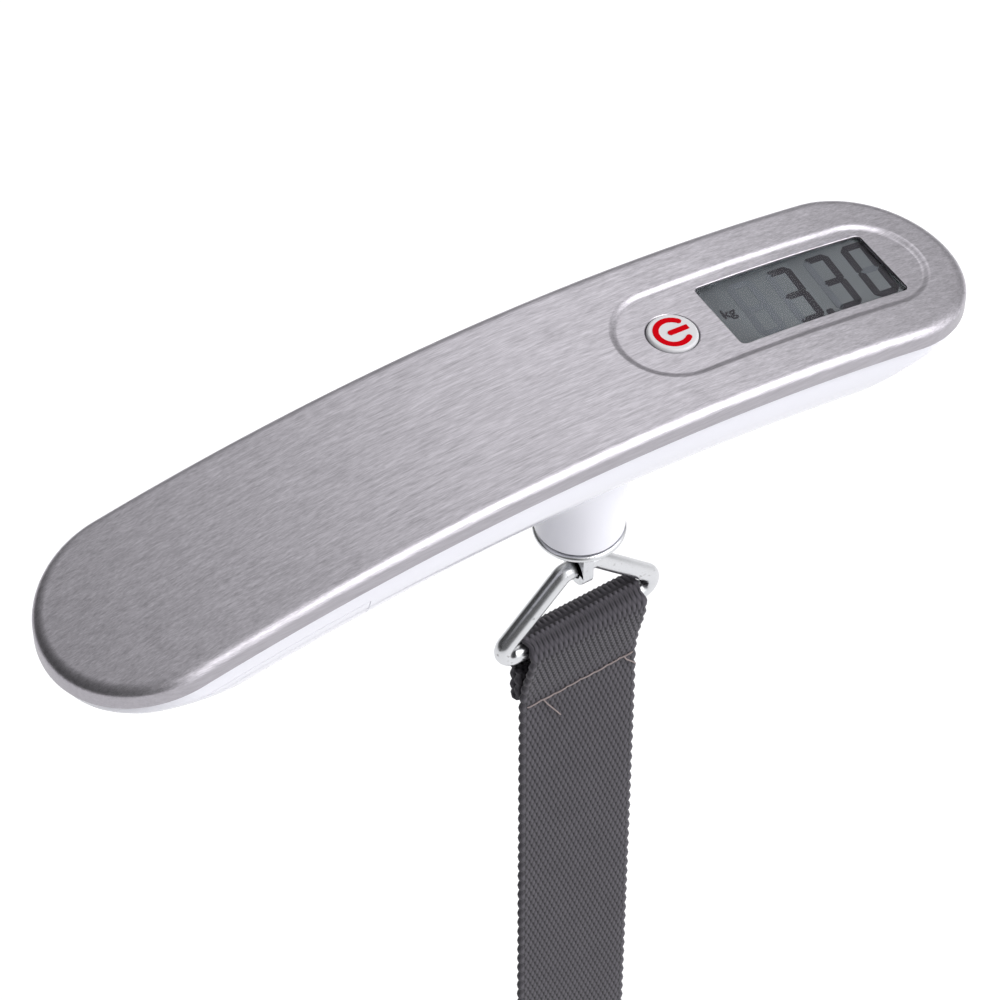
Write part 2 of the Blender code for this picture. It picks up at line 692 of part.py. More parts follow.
def make_display():
    flange = 2 * LENS_FLANGE
    plate = rounded(
        WINDOW_LENGTH + flange, WINDOW_WIDTH + flange, WINDOW_CORNER, (WINDOW_CENTRE, 0)
    )
    lens = prism([plate], -LENS_BOTTOM, -LENS_FLANGE_TOP)
    face = rounded(
        WINDOW_LENGTH - 2 * WINDOW_GAP,
        WINDOW_WIDTH - 2 * WINDOW_GAP,
        WINDOW_CORNER - WINDOW_GAP,
        (WINDOW_CENTRE, 0),
    )
    join(lens, prism([face], -LENS_FLANGE_TOP - LENS_FLANGE_THICKNESS / 2, -LENS_DEPTH))
    finish(arched(lens), "display_lens", CLEAR)

    half, side = LCD_LENGTH / 2, LCD_WIDTH / 2
    low = (LCD_PLACE - half, -side, -LCD_DEPTH - LCD_THICKNESS)
    finish(box(low, (LCD_PLACE + half, side, -LCD_DEPTH)), "lcd_panel", LCD_GLASS, DISPLAY)

    outer = rounded(
        LCD_LENGTH + 2 * HOLDER_MARGIN, LCD_WIDTH + 2 * HOLDER_MARGIN, HOLDER_MARGIN, (LCD_PLACE, 0)
    )
    inner_length = LCD_LENGTH + 2 * HOLDER_MARGIN - 2 * HOLDER_END_WALL
    inner_width = LCD_WIDTH + 2 * HOLDER_MARGIN - 2 * HOLDER_SIDE_WALL
    inner = rounded(inner_length, inner_width, FIT, (LCD_PLACE, 0), 1)
    bottom = HOLDER_TOP + HOLDER_HEIGHT
    finish(prism([outer, inner], -bottom, -HOLDER_TOP), "lcd_holder", SHELL_PLASTIC, DISPLAY)
    reach = inner_length / 2 - FIT
    wide = inner_width / 2 - FIT
    for name, side in (("near", -1), ("far", 1)):
        edges = sorted((side * wide, side * (wide - STRIP_WIDTH)))
        strip = box(
            (LCD_PLACE - reach, edges[0], -bottom), (LCD_PLACE + reach, edges[1], -HOLDER_TOP)
        )
        finish(strip, f"contact_strip_{name}", RUBBER, DISPLAY)


def make_board():
    half = BOARD_WIDTH / 2
    board = box((BOARD_LEFT, -half, -BOARD_BOTTOM), (BOARD_RIGHT, half, -BOARD_TOP))
    x = BOARD_LEFT + BOARD_SCREW_END
    head = BOARD_BOTTOM + FIT
    shank_top = head - BOARD_SCREW_LENGTH
    for number, y in ((1, -BOARD_SCREW_SIDE), (2, BOARD_SCREW_SIDE)):
        hole = BOARD_SCREW_RADIUS + FIT
        cut(board, cylinder(hole, -BOARD_BOTTOM - FIT, -BOARD_TOP + FIT, x, y, 16))
        profile = [
            (0, -shank_top),
            (BOARD_SCREW_RADIUS, -shank_top),
            (BOARD_SCREW_RADIUS, -head),
            (BOARD_SCREW_HEAD_RADIUS, -head),
            (BOARD_SCREW_HEAD_RADIUS, -head - BOARD_SCREW_HEAD),
            (0, -head - BOARD_SCREW_HEAD),
        ]
        screw = turned(profile, steps=12)
        screw.data.transform(Matrix.Translation((x, y, 0)))
        finish(screw, f"board_screw_{number}", ZINC, DISPLAY)
    finish(board, "circuit_board", BOARD_GREEN, DISPLAY)

    top = BOARD_BOTTOM + FIT
    dome = [(0, -top), (BLOB_RADIUS, -top)]
    for radius, height in arc((0, 0), 1, pi / 8, pi / 2, 3):
        dome.append((BLOB_RADIUS * radius, -top - BLOB_HEIGHT * height))
    dome[-1] = (0, -top - BLOB_HEIGHT)
    finish(turned(dome, steps=20), "controller_blob", EPOXY, DISPLAY)

    # The switch stands on the board, under the button.
    place = BUTTON_PLACE - DISPLAY_STATION
    side = SWITCH_SIDE / 2
    bottom = -BOARD_TOP + FIT
    switch = box((place - side, -side, bottom), (place + side, side, bottom + SWITCH_HEIGHT))
    top = bottom + SWITCH_HEIGHT + PLUNGER_HEIGHT
    join(switch, cylinder(PLUNGER_RADIUS, bottom + SWITCH_HEIGHT / 2, top, place))
    finish(switch, "tact_switch", EPOXY, DISPLAY)
    return -top


def make_button(plunger_depth):
    """The cap, its flange under the cover and its stem over the switch."""
    sag = arch_height(BUTTON_PLACE) - at_station(DISPLAY, (BUTTON_PLACE - DISPLAY_STATION, 0, 0)).z
    stem_end = plunger_depth + sag - BUTTON_TRAVEL - FIT
    flange_top = LENS_FLANGE_TOP
    chamfer = BUTTON_GAP
    profile = [
        (0, -BUTTON_TOP),
        (BUTTON_RADIUS - chamfer, -BUTTON_TOP),
        (BUTTON_RADIUS, -BUTTON_TOP - chamfer),
        (BUTTON_RADIUS, -flange_top),
        (BUTTON_FLANGE_RADIUS, -flange_top),
        (BUTTON_FLANGE_RADIUS, -flange_top - BUTTON_FLANGE),
        (BUTTON_STEM_RADIUS, -flange_top - BUTTON_FLANGE),
        (BUTTON_STEM_RADIUS, -stem_end),
        (0, -stem_end),
    ]
    finish(turned(profile), "power_button", BUTTON_WHITE, station("power_button_press", BUTTON_PLACE))


def make_battery():
    reach = CELL_RADIUS + FIT
    rim = reach + TRAY_RIM
    # The tray sits between the upper shell's walls.
    half = TONGUE_INSIDE / 2 - FIT
    long = TRAY_HALF_LENGTH
    tray = box((-long, -half, -TRAY_FLOOR_BOTTOM), (long, half, -TRAY_DEPTH))
    circle = arc((0, 0), rim, 0, 2 * pi, 32)[:-1]
    hollow = arc((0, 0), reach, 0, 2 * pi, 32)[:-1]
    bottom = TRAY_FLOOR_BOTTOM + TRAY_RIM_HEIGHT
    join(tray, prism([circle, hollow], -bottom, -TRAY_FLOOR_BOTTOM + FIT))
    combine(tray, box((-long, -half, -2 * bottom), (long, half, 0)), "INTERSECT")
    # A gap in the rim lets each contact's tail out.
    notch = CONTACT_WIDTH / 2 + FIT
    cut(tray, box((-2 * rim, -notch, -2 * bottom), (2 * rim, notch, -TRAY_FLOOR_BOTTOM)))
    finish(tray, "battery_tray", SHELL_PLASTIC, BATTERY)

    bevel = CELL_THICKNESS / 8
    profile = [
        (0, -CELL_TOP),
        (CELL_RADIUS - 2 * bevel, -CELL_TOP),
        (CELL_RADIUS - 2 * bevel, -CELL_TOP - bevel),
        (CELL_RADIUS, -CELL_TOP - 2 * bevel),
        (CELL_RADIUS, -CELL_TOP - CELL_THICKNESS + bevel),
        (CELL_RADIUS - bevel, -CELL_TOP - CELL_THICKNESS),
        (0, -CELL_TOP - CELL_THICKNESS),
    ]
    finish(turned(profile, steps=40), "coin_cell", NICKEL, BATTERY)

    wide = CONTACT_WIDTH / 2
    leaf_end = -long + CONTACT_SHEET
    leaf_bottom = -CONTACT_TOP - CONTACT_SHEET
    leaf = box((leaf_end, -wide, leaf_bottom), (CELL_RADIUS / 2, wide, -CONTACT_TOP))
    finish(leaf, "battery_contact_negative", BRONZE, BATTERY)
    # The other contact is an angle: a tail along the floor and a leg beside the cell.
    cell_bottom = CELL_TOP + CELL_THICKNESS
    leg = [
        (reach, -CONTACT_TOP),
        (long - CONTACT_SHEET, -CONTACT_TOP),
        (long - CONTACT_SHEET, leaf_bottom),
        (reach + CONTACT_SHEET, leaf_bottom),
        (reach + CONTACT_SHEET, -cell_bottom + bevel),
        (reach, -cell_bottom + bevel),
    ]
    clip = prism([leg], -wide, wide)
    clip.data.transform(FACING_Y)
    finish(clip, "battery_contact_positive", BRONZE, BATTERY)


def make_load_cell():
    half = BEAM_WIDTH / 2
    beam = box((BEAM_LEFT, -half, -BEAM_BOTTOM), (BEAM_RIGHT, half, -BEAM_TOP))
    middle = -(BEAM_TOP + BEAM_BOTTOM) / 2
    # Two round eyes joined by a slot make the thin bending webs.
    reach = BEAM_EYE_SPACING / 2
    slot = arc((BEAM_EYE_CENTRE + reach, middle), BEAM_EYE_RADIUS, -pi / 2, pi / 2, 8)
    slot += arc((BEAM_EYE_CENTRE - reach, middle), BEAM_EYE_RADIUS, pi / 2, 3 * pi / 2, 8)
    window = prism([slot], -BEAM_WIDTH, BEAM_WIDTH)
    window.data.transform(FACING_Y)
    cut(beam, window)
    for y in (-BEAM_SCREW_SIDE, BEAM_SCREW_SIDE):
        cut(beam, cylinder(BEAM_SCREW_RADIUS + FIT, -2 * BEAM_BOTTOM, 0, BEAM_SCREW_PLACE, y))
    cut(beam, cylinder(STEM_ROD_RADIUS + FIT, -2 * BEAM_BOTTOM, 0, NECK_PLACE))
    finish(beam, "load_cell", ALUMINIUM)

    centre = BEAM_EYE_CENTRE
    long, wide = GAUGE_LENGTH / 2, GAUGE_WIDTH / 2
    for name, bottom in (("top", FIT - BEAM_TOP), ("bottom", -BEAM_BOTTOM - FIT - GAUGE_THICKNESS)):
        gauge = box((centre - long, -wide, bottom), (centre + long, wide, bottom + GAUGE_THICKNESS))
        finish(gauge, f"strain_gauge_{name}", FILM)

    seat = -BEAM_TOP + FIT
    end = -BEAM_BOTTOM - BEAM_SCREW_GRIP
    for number, y in ((1, -BEAM_SCREW_SIDE), (2, BEAM_SCREW_SIDE)):
        profile = [
            (0, seat + BEAM_SCREW_HEAD),
            (BEAM_SCREW_HEAD_RADIUS, seat + BEAM_SCREW_HEAD),
            (BEAM_SCREW_HEAD_RADIUS, seat),
            (BEAM_SCREW_RADIUS, seat),
            (BEAM_SCREW_RADIUS, end),
            (0, end),
        ]
        screw = turned(profile, steps=16)
        screw.data.transform(Matrix.Translation((BEAM_SCREW_PLACE, y, 0)))
        finish(screw, f"load_cell_screw_{number}", ZINC)


def make_stem():
    nut_bottom = -BEAM_TOP + FIT
    nut = cylinder(NUT_RADIUS, nut_bottom, nut_bottom + NUT_HEIGHT, steps=6)
    cut(nut, cylinder(STEM_ROD_RADIUS + FIT, -BEAM_BOTTOM, BEAM_BOTTOM))
    nut.data.transform(Matrix.Translation((NECK_PLACE, 0, 0)))
    finish(nut, "stem_nut", ZINC)

    end = -DISC_BOTTOM - STEM_BELOW_DISC
    profile = [
        (0, nut_bottom + NUT_HEIGHT + STEM_ABOVE_NUT),
        (STEM_ROD_RADIUS, nut_bottom + NUT_HEIGHT + STEM_ABOVE_NUT),
        (STEM_ROD_RADIUS, -BEAM_BOTTOM - FIT),
        (STEM_RADIUS, -BEAM_BOTTOM - FIT),
        (STEM_RADIUS, end),
        (0, end),
    ]
    stem = turned(profile, steps=24)
    half = TONGUE_WIDTH / 2
    outline = arc((0, -RING_EYE), half, pi, 2 * pi, 12)
    outline += [(half, -DISC_BOTTOM), (-half, -DISC_BOTTOM)]
    eye = arc((0, -RING_EYE), RING_WIRE + FIT, 0, 2 * pi, 20)[:-1]
    tongue = prism([outline, eye], -TONGUE_THICKNESS / 2, TONGUE_THICKNESS / 2)
    tongue.data.transform(FACING_X)
    join(stem, tongue)
    stem.data.transform(Matrix.Translation((NECK_PLACE, 0, 0)))
    finish(stem, "pull_stem", ZINC)

    bore = STEM_RADIUS + FIT
    edge = DISC_THICKNESS / 4
    ring = [
        (bore, -DISC_TOP),
        (DISC_RADIUS - edge, -DISC_TOP),
        (DISC_RADIUS, -DISC_TOP - edge),
        (DISC_RADIUS, -DISC_BOTTOM + edge),
        (DISC_RADIUS - edge, -DISC_BOTTOM),
        (bore, -DISC_BOTTOM),
    ]
    disc = turned(ring, closed=True)
    disc.data.transform(Matrix.Translation((NECK_PLACE, 0, 0)))
    finish(disc, "neck_disc", CHROME)


def ring_half():
    """The right half of the ring's centre line, from the eye to the middle of its bar."""
    centre = Vector((RING_HALF_WIDTH - RING_WIRE - RING_CORNER, RING_CORNER - RING_BAR))
    apex = Vector((RING_APEX, -RING_EYE))
    aim = centre - apex
    slope = atan2(aim.y, aim.x) + asin(RING_CORNER / aim.length)
    corner = arc(centre, RING_CORNER, slope + pi / 2, -pi / 2, 8)
    bend = filleted(
        [(RING_END_GAP, -RING_EYE, 0), (*apex, 0), (*corner[0], 0)], RING_APEX_BEND
    )
    return [(place.x, place.y) for place in bend[:-1]] + corner


def make_ring():
    half = ring_half()
    path = half + [(-x, z) for x, z in reversed(half)]
    wire = tube([(NECK_PLACE + x, 0, z) for x, z in path], RING_WIRE)
    swing = link("ring_swing", None)
    swing.location = (NECK_PLACE, 0, -RING_EYE)
    wire.data.transform(Matrix.Translation((-NECK_PLACE, 0, RING_EYE)))
    finish(wire, "triangle_ring", CHROME, swing)


def strap_end(radius, level, way):
    """One side of a sewn loop, from the top of the loop to where the lap ends."""
    stack = STRAP_THICKNESS
    foot = Vector((stack, -STRAP_CLOSE))
    lean = atan2(-foot.y, foot.x)
    touch = lean - asin(sqrt(max(foot.length**2 - radius**2, 0)) / foot.length)
    side = [place for place in arc((0, 0), radius, pi / 2, -touch, 8)]
    side += [tuple(foot), (stack, -STRAP_LAP), (stack / 2, -STRAP_LAP)]
    return [(y, level + way * z) for y, z in side]


def make_strap():
    upper = strap_end(RING_WIRE + FIT + STRAP_THICKNESS, -RING_BAR, 1)
    lower = strap_end(HOOK_LOOP, -HOOK_LEVEL, -1)
    side = upper + lower[::-1]
    outline = side + [(-y, z) for y, z in reversed(side[1:-1])]
    holes = [
        arc((0, -RING_BAR), RING_WIRE + FIT, 0, 2 * pi, 20)[:-1],
        arc((0, -HOOK_LEVEL), HOOK_HOLE, 0, 2 * pi, 20)[:-1],
    ]
    strap = prism([outline, *holes], -STRAP_WIDTH / 2, STRAP_WIDTH / 2)
    strap.data.transform(FACING_X)
    swing = link("strap_swing", None)
    swing.location = (NECK_PLACE, 0, -RING_BAR)
    strap.data.transform(Matrix.Translation((0, 0, RING_BAR)))
    finish(strap, "strap", WEBBING, swing)


def make_hook():
    """A flat hook with a slotted eye, drawn about the middle of the eye's bar."""
    slot = STRAP_WIDTH / 2 + HOOK_SLOT_GAP
    eye = slot + HOOK_EYE_WALL
    bar = HOOK_BAR / 2
    slot_bottom = HOOK_LOOP + FIT
    bridge = slot_bottom + HOOK_BRIDGE
    inner = HOOK_INSIDE
    outer = inner + HOOK_ARM
    bowl = bridge + HOOK_THROAT
    nose = bowl - HOOK_NOSE
    seat = HOOK_SEAT / 2
    half_arm = HOOK_ARM / 2
    pivot = (inner + half_arm, -bridge - HOOK_EAR + half_arm)

    outline = arc((eye - bar, 0), bar, pi / 2, 0, 3)
    outline += [(eye, -slot_bottom), (outer, -bridge)]
    outline += arc(pivot, half_arm, 0, -pi, 8)
    outline += [(inner, -bridge), (-inner, -bridge)]
    outline += arc((-seat, -bowl), inner - seat, pi, 3 * pi / 2, 6)
    outline += arc((seat, -bowl), inner - seat, 3 * pi / 2, 2 * pi, 6)
    outline += [(inner, -nose)]
    outline += arc((inner + half_arm, -nose), half_arm, pi, 0, 8)[1:]
    outline += arc((seat, -bowl), outer - seat, 0, -pi / 2, 8)
    outline += arc((-seat, -bowl), outer - seat, -pi / 2, -pi, 8)
    outline += [(-outer, -bridge), (-eye, -slot_bottom)]
    outline += arc((-eye + bar, 0), bar, pi, pi / 2, 3)
    hole = [(slot, -bar), (slot, -slot_bottom), (-slot, -slot_bottom), (-slot, -bar)]
    pin = arc(pivot, GATE_WIRE + FIT, 0, 2 * pi, 16)[:-1]
    body = prism([outline, hole, pin], -HOOK_THICKNESS / 2, HOOK_THICKNESS / 2)
    body.data.transform(FACING_Y)
    swing = link("hook_swing", None)
    swing.location = (NECK_PLACE, 0, -HOOK_LEVEL)
    finish(body, "hook_body", CHROME, swing)

    # The gate is one bent wire: its ends turn in the ear and it closes inside the nose.
    side = HOOK_THICKNESS / 2 + GATE_SIDE_GAP + GATE_WIRE
    end = FIT
    inside = inner - GATE_WIRE - FIT
    low = -nose - pivot[1]
    lean = inside - pivot[0]
    corners = [(0, end, 0), (0, side, 0), (lean, side, low), (lean, -side, low), (0, -side, 0), (0, -end, 0)]
    wire = tube(filleted(corners, GATE_BEND), GATE_WIRE)
    hinge = link("gate_hinge", None)
    hinge.location = (NECK_PLACE + pivot[0], 0, -HOOK_LEVEL + pivot[1])
    finish(wire, "wire_gate", CHROME, hinge)


def make_leads():
    """Wires inside the handle, from the contacts and the gauge to the board's end."""
    under = -CONTACT_TOP - CONTACT_SHEET - FIT - LEAD_RADIUS
    tail = TRAY_HALF_LENGTH - CONTACT_SHEET
    past = TRAY_HALF_LENGTH + 3 * LEAD_RADIUS
    along = LEAD_RADIUS + 2 * FIT - TONGUE_INSIDE / 2
    above = -SLAB_BOTTOM - 2 * FIT - LEAD_RADIUS
    board_end = BOARD_LEFT - 2 * FIT
    board_level = -BOARD_BOTTOM + LEAD_RADIUS
    side = BEAM_WIDTH / 2 + BEAM_SCREW_RADIUS
    over = -TONGUE_DEPTH - 2 * LEAD_RADIUS
    gauge_end = BEAM_EYE_CENTRE + GAUGE_LENGTH / 2 + LEAD_RADIUS + FIT
    clear = -BEAM_TOP + 2 * LEAD_RADIUS + FIT
    beam_end = BEAM_RIGHT + 2 * LEAD_RADIUS
    positive = [
        at_station(BATTERY, (tail + LEAD_RADIUS + FIT, CONTACT_WIDTH / 3, under)),
        at_station(BATTERY, (tail + LEAD_RADIUS + FIT, CONTACT_WIDTH, under)),
        (BEAM_LEFT, side, over),
        (0, side, over),
        at_station(DISPLAY, (board_end, side, board_level)),
    ]
    negative = [
        at_station(BATTERY, (2 * LEAD_RADIUS - tail, 0, under)),
        at_station(BATTERY, (-past, 0, under)),
        at_station(BATTERY, (-past, along, above)),
        at_station(BATTERY, (past, along, above)),
        (BEAM_LEFT, -side, over),
        (0, -side, over),
        at_station(DISPLAY, (board_end, -side, board_level)),
    ]
    signal = [
        (gauge_end, 0, -BEAM_TOP + LEAD_RADIUS + FIT),
        (gauge_end, -BEAM_WIDTH / 2, clear),
        (beam_end, -BEAM_WIDTH / 2, clear),
        at_station(DISPLAY, (board_end, 0, board_level)),
    ]
    routes = {
        "battery_lead_positive": (positive, RED),
        "battery_lead_negative": (negative, BLACK),
        "load_cell_lead": (signal, GREY),
    }
    for name, (corners, colour) in routes.items():
        finish(tube(filleted(corners, 2 * LEAD_RADIUS, 3), LEAD_RADIUS, 1), name, colour)


clear_scene()
PARTS = bpy.data.collections.new("digital_luggage_scale")
bpy.context.scene.collection.children.link(PARTS)

STEEL = look("brushed_steel", (0.60, 0.60, 0.61), 0.35, 1.0)
WHITE = look("white_plastic", (0.86, 0.87, 0.90), 0.12)
SHELL_PLASTIC = look("inner_plastic", (0.70, 0.70, 0.72), 0.45)
CLEAR = look("clear_acrylic", (0.80, 0.84, 0.85), 0.05)
LCD_GLASS = look("lcd_glass", (0.17, 0.19, 0.19), 0.15)
RUBBER = look("contact_rubber", (0.45, 0.20, 0.16), 0.7)
BOARD_GREEN = look("board_green", (0.03, 0.22, 0.08), 0.35)
EPOXY = look("black_epoxy", (0.02, 0.02, 0.02), 0.4)
BUTTON_WHITE = look("button_white", (0.74, 0.74, 0.76), 0.25)
NICKEL = look("nickel", (0.66, 0.64, 0.60), 0.25, 1.0)
BRONZE = look("spring_bronze", (0.72, 0.58, 0.36), 0.3, 1.0)
ALUMINIUM = look("aluminium", (0.77, 0.78, 0.80), 0.4, 1.0)
FILM = look("gauge_film", (0.72, 0.45, 0.14), 0.4)
ZINC = look("zinc_steel", (0.62, 0.63, 0.65), 0.3, 1.0)
CHROME = look("chrome", (0.80, 0.81, 0.83), 0.08, 1.0)
WEBBING = look("webbing", (0.085, 0.082, 0.085), 0.85)
RED = look("red_insulation", (0.45, 0.02, 0.02), 0.5)
BLACK = look("black_insulation", (0.02, 0.02, 0.02), 0.5)
GREY = look("grey_insulation", (0.30, 0.30, 0.31), 0.5)

DISPLAY = station("display_station", DISPLAY_STATION)
BATTERY = station("battery_station", BATTERY_STATION)

make_plate()
make_upper_shell()
make_housing_screws()
make_housing()
make_display()
make_button(make_board())
make_battery()
make_load_cell()
make_stem()
make_ring()
make_strap()
make_hook()
make_leads()
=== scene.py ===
import json
from math import asin, atan2, cos, pi, radians, sin, sqrt, tau

import bmesh
import bpy
from mathutils import Matrix, Vector


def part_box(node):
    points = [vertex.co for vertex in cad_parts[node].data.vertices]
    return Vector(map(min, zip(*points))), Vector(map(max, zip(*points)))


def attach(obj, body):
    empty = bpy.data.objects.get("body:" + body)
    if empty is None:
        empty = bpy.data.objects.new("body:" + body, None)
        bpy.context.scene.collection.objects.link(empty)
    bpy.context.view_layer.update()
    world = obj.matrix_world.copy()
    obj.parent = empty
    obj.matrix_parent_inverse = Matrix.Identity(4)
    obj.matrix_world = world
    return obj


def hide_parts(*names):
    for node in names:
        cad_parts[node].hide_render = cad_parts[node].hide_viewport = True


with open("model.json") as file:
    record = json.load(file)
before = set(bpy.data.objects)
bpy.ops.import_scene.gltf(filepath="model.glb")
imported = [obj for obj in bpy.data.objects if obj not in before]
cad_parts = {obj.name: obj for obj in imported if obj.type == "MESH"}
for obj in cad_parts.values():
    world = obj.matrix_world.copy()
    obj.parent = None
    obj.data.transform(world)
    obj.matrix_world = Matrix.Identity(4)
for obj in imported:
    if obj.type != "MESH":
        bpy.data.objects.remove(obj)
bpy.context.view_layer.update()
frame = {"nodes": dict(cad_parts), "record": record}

mm = 0.001
scene = bpy.context.scene


# Selection and edit mode

def dropSelection():
    if bpy.context.object and bpy.context.object.mode != "OBJECT":
        bpy.ops.object.mode_set(mode="OBJECT")
    bpy.ops.object.select_all(action="DESELECT")


def hold(piece):
    dropSelection()
    piece.select_set(True)
    bpy.context.view_layer.objects.active = piece
    return piece


def openPiece(piece, kind="VERT"):
    hold(piece)
    bpy.ops.object.mode_set(mode="EDIT")
    bpy.ops.mesh.select_mode(type=kind)
    return piece


def closePiece():
    bpy.ops.object.mode_set(mode="OBJECT")


def selectAll():
    bpy.ops.mesh.select_all(action="SELECT")


def extrude(rise):
    bpy.ops.mesh.extrude_region_move(TRANSFORM_OT_translate={"value": (0, 0, rise)})


def pick(piece, kind, test):
    # selects the points, edges or faces that pass the test, in edit mode
    bpy.ops.mesh.select_mode(type=kind)
    bpy.ops.mesh.select_all(action="DESELECT")
    work = bmesh.from_edit_mesh(piece.data)
    group = {"VERT": work.verts, "EDGE": work.edges, "FACE": work.faces}[kind]
    for part in group:
        if test(part):
            part.select_set(True)
    work.select_flush_mode()
    bmesh.update_edit_mesh(piece.data)


def settle(piece):
    hold(piece)
    bpy.ops.object.transform_apply(location=True, rotation=True, scale=True)
    return piece


def tidyMesh(piece, gap=0.002 * mm):
    openPiece(piece)
    selectAll()
    bpy.ops.mesh.remove_doubles(threshold=gap)
    bpy.ops.mesh.normals_make_consistent(inside=False)
    closePiece()
    return piece


def applyModifier(piece, kind, **settings):
    hold(piece)
    made = piece.modifiers.new(kind.lower(), kind)
    for name, value in settings.items():
        setattr(made, name, value)
    bpy.ops.object.modifier_apply(modifier=made.name)
    return piece


def carve(piece, tool, operation="DIFFERENCE"):
    applyModifier(piece, "BOOLEAN", object=tool, operation=operation, solver="EXACT")
    bpy.data.objects.remove(tool, do_unlink=True)
    return piece


def twin(piece):
    made = piece.copy()
    made.data = piece.data.copy()
    scene.collection.objects.link(made)
    return made


def joinAll(pieces):
    hold(pieces[0])
    for piece in pieces[1:]:
        piece.select_set(True)
    bpy.ops.object.join()
    return pieces[0]


def smooth(piece, angle=32):
    hold(piece)
    bpy.ops.object.shade_smooth_by_angle(angle=radians(angle))
    return piece


def handOver(piece, name, body, slotName, *nodes, finish=None):
    # names a finished piece, gives it its slot's finish or another, and its place in the frame
    piece.name = piece.data.name = name
    piece.data.materials.clear()
    piece.data.materials.append(finish or finishes[slotName])
    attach(piece, body)
    if nodes:
        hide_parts(*nodes)
    return piece


# Shapes that several pieces start from

def disc(radius, height, sides, x=0.0):
    # the flats, not the points, lie on the radius, so that the halves can be pulled apart
    bpy.ops.mesh.primitive_circle_add(
        vertices=sides, radius=radius / cos(pi / sides), fill_type="NGON",
        location=(x, 0, height), rotation=(0, 0, pi / sides))
    return settle(bpy.context.object)


def bowl(levels, sides, x=0.0):
    # extrudes a disc through (radius, height) levels
    piece = disc(*levels[0], sides, x)
    openPiece(piece, "FACE")
    selectAll()
    for (lastRadius, lastHeight), (radius, height) in zip(levels, levels[1:]):
        extrude(height - lastHeight)
        ratio = radius / lastRadius
        bpy.ops.transform.resize(value=(ratio, ratio, 1), center_override=(x, 0, height))
    closePiece()
    return tidyMesh(piece)


def pullApart(piece, reach, x=0.0):
    # moves the two halves of a round shape apart along the handle
    openPiece(piece)
    for way in (-1, 1):
        pick(piece, "VERT", lambda point: way * (point.co.x - x) > 0)
        bpy.ops.transform.translate(value=(way * reach, 0, 0))
    closePiece()
    return piece


def archHeight(x):
    return sqrt(handle["archRadius"] ** 2 - x * x) - handle["archRadius"]


def bendToArch(piece):
    # slices a piece that was made flat and bends it to the handle's arch
    openPiece(piece)
    reach = max(abs(point.co.x) for point in piece.data.vertices)
    count = int(reach / handle["slice"])
    for number in range(-count, count + 1):
        selectAll()
        bpy.ops.mesh.bisect(plane_co=(number * handle["slice"], 0, 0), plane_no=(1, 0, 0))
    closePiece()
    for point in piece.data.vertices:
        point.co.z += archHeight(point.co.x)
    piece.data.update()
    return piece


def slab(low, high):
    low, high = Vector(low), Vector(high)
    bpy.ops.mesh.primitive_cube_add(size=1, location=(low + high) / 2, scale=high - low)
    return settle(bpy.context.object)


def rod(radius, bottom, top, x=0.0, y=0.0, sides=48):
    bpy.ops.mesh.primitive_cylinder_add(
        vertices=sides, radius=radius, depth=top - bottom, location=(x, y, (bottom + top) / 2))
    return settle(bpy.context.object)


def turned(profile, place, sides=72):
    # spins a (radius, height) line round the upright through place
    mesh = bpy.data.meshes.new("turned")
    points = [(place[0] + radius, place[1], place[2] + height) for radius, height in profile]
    mesh.from_pydata(points, [(i, i + 1) for i in range(len(points) - 1)], [])
    piece = bpy.data.objects.new("turned", mesh)
    scene.collection.objects.link(piece)
    openPiece(piece)
    selectAll()
    bpy.ops.mesh.spin(steps=sides, angle=tau, center=place, axis=(0, 0, 1))
    closePiece()
    return tidyMesh(piece)


def arcPoints(centre, radius, start, end, steps):
    return [
        (centre[0] + radius * cos(start + (end - start) * i / steps),
         centre[1] + radius * sin(start + (end - start) * i / steps))
        for i in range(steps + 1)]


def wire(points, radius, rings=6, closed=False):
    # a round wire along points
    curve = bpy.data.curves.new("wire", "CURVE")
    curve.dimensions = "3D"
    curve.bevel_depth = radius
    curve.bevel_resolution = rings
    curve.use_fill_caps = not closed
    line = curve.splines.new("POLY")
    line.points.add(len(points) - 1)
    for point, place in zip(line.points, points):
        point.co = (*place, 1)
    line.use_cyclic_u = closed
    piece = bpy.data.objects.new("wire", curve)
    scene.collection.objects.link(piece)
    hold(piece)
    bpy.ops.object.convert(target="MESH")
    return tidyMesh(bpy.context.object)


def roundedPath(corners, radius, steps=10):
    # a line through 3-D corners with its inner corners rounded
    path = [Vector(corners[0])]
    for before, corner, after in zip(corners, corners[1:], corners[2:]):
        corner = Vector(corner)
        back = (Vector(before) - corner).normalized()
        ahead = (Vector(after) - corner).normalized()
        half = back.angle(ahead) / 2
        middle = corner + (back + ahead).normalized() * (radius / sin(half))
        start = corner + back * (radius * cos(half) / sin(half)) - middle
        turn = ahead.cross(back).normalized()
        for i in range(steps + 1):
            path.append(middle + Matrix.Rotation((pi - 2 * half) * i / steps, 3, turn) @ start)
    path.append(Vector(corners[-1]))
    return path


# Material tools

def putNode(tree, kind, links=None, **values):
    # adds a node, sets its inputs by name and links what is given
    node = tree.nodes.new(kind)
    for name, value in values.items():
        if hasattr(node, name):
            setattr(node, name, value)
        else:
            node.inputs[name.replace("_", " ")].default_value = value
    for name, source in (links or {}).items():
        tree.links.new(source, node.inputs[name])
    return node


def startFinish(name, **plain):
    # a material with its Principled shader, whose even values sit on the shader itself
    made = bpy.data.materials.new(name)
    made.use_nodes = True
    tree = made.node_tree
    shader = tree.nodes["Principled BSDF"]
    for key, value in plain.items():
        shader.inputs[key.replace("_", " ")].default_value = value
    place = tree.nodes.new("ShaderNodeTexCoord").outputs["Object"]
    return made, tree, shader, place


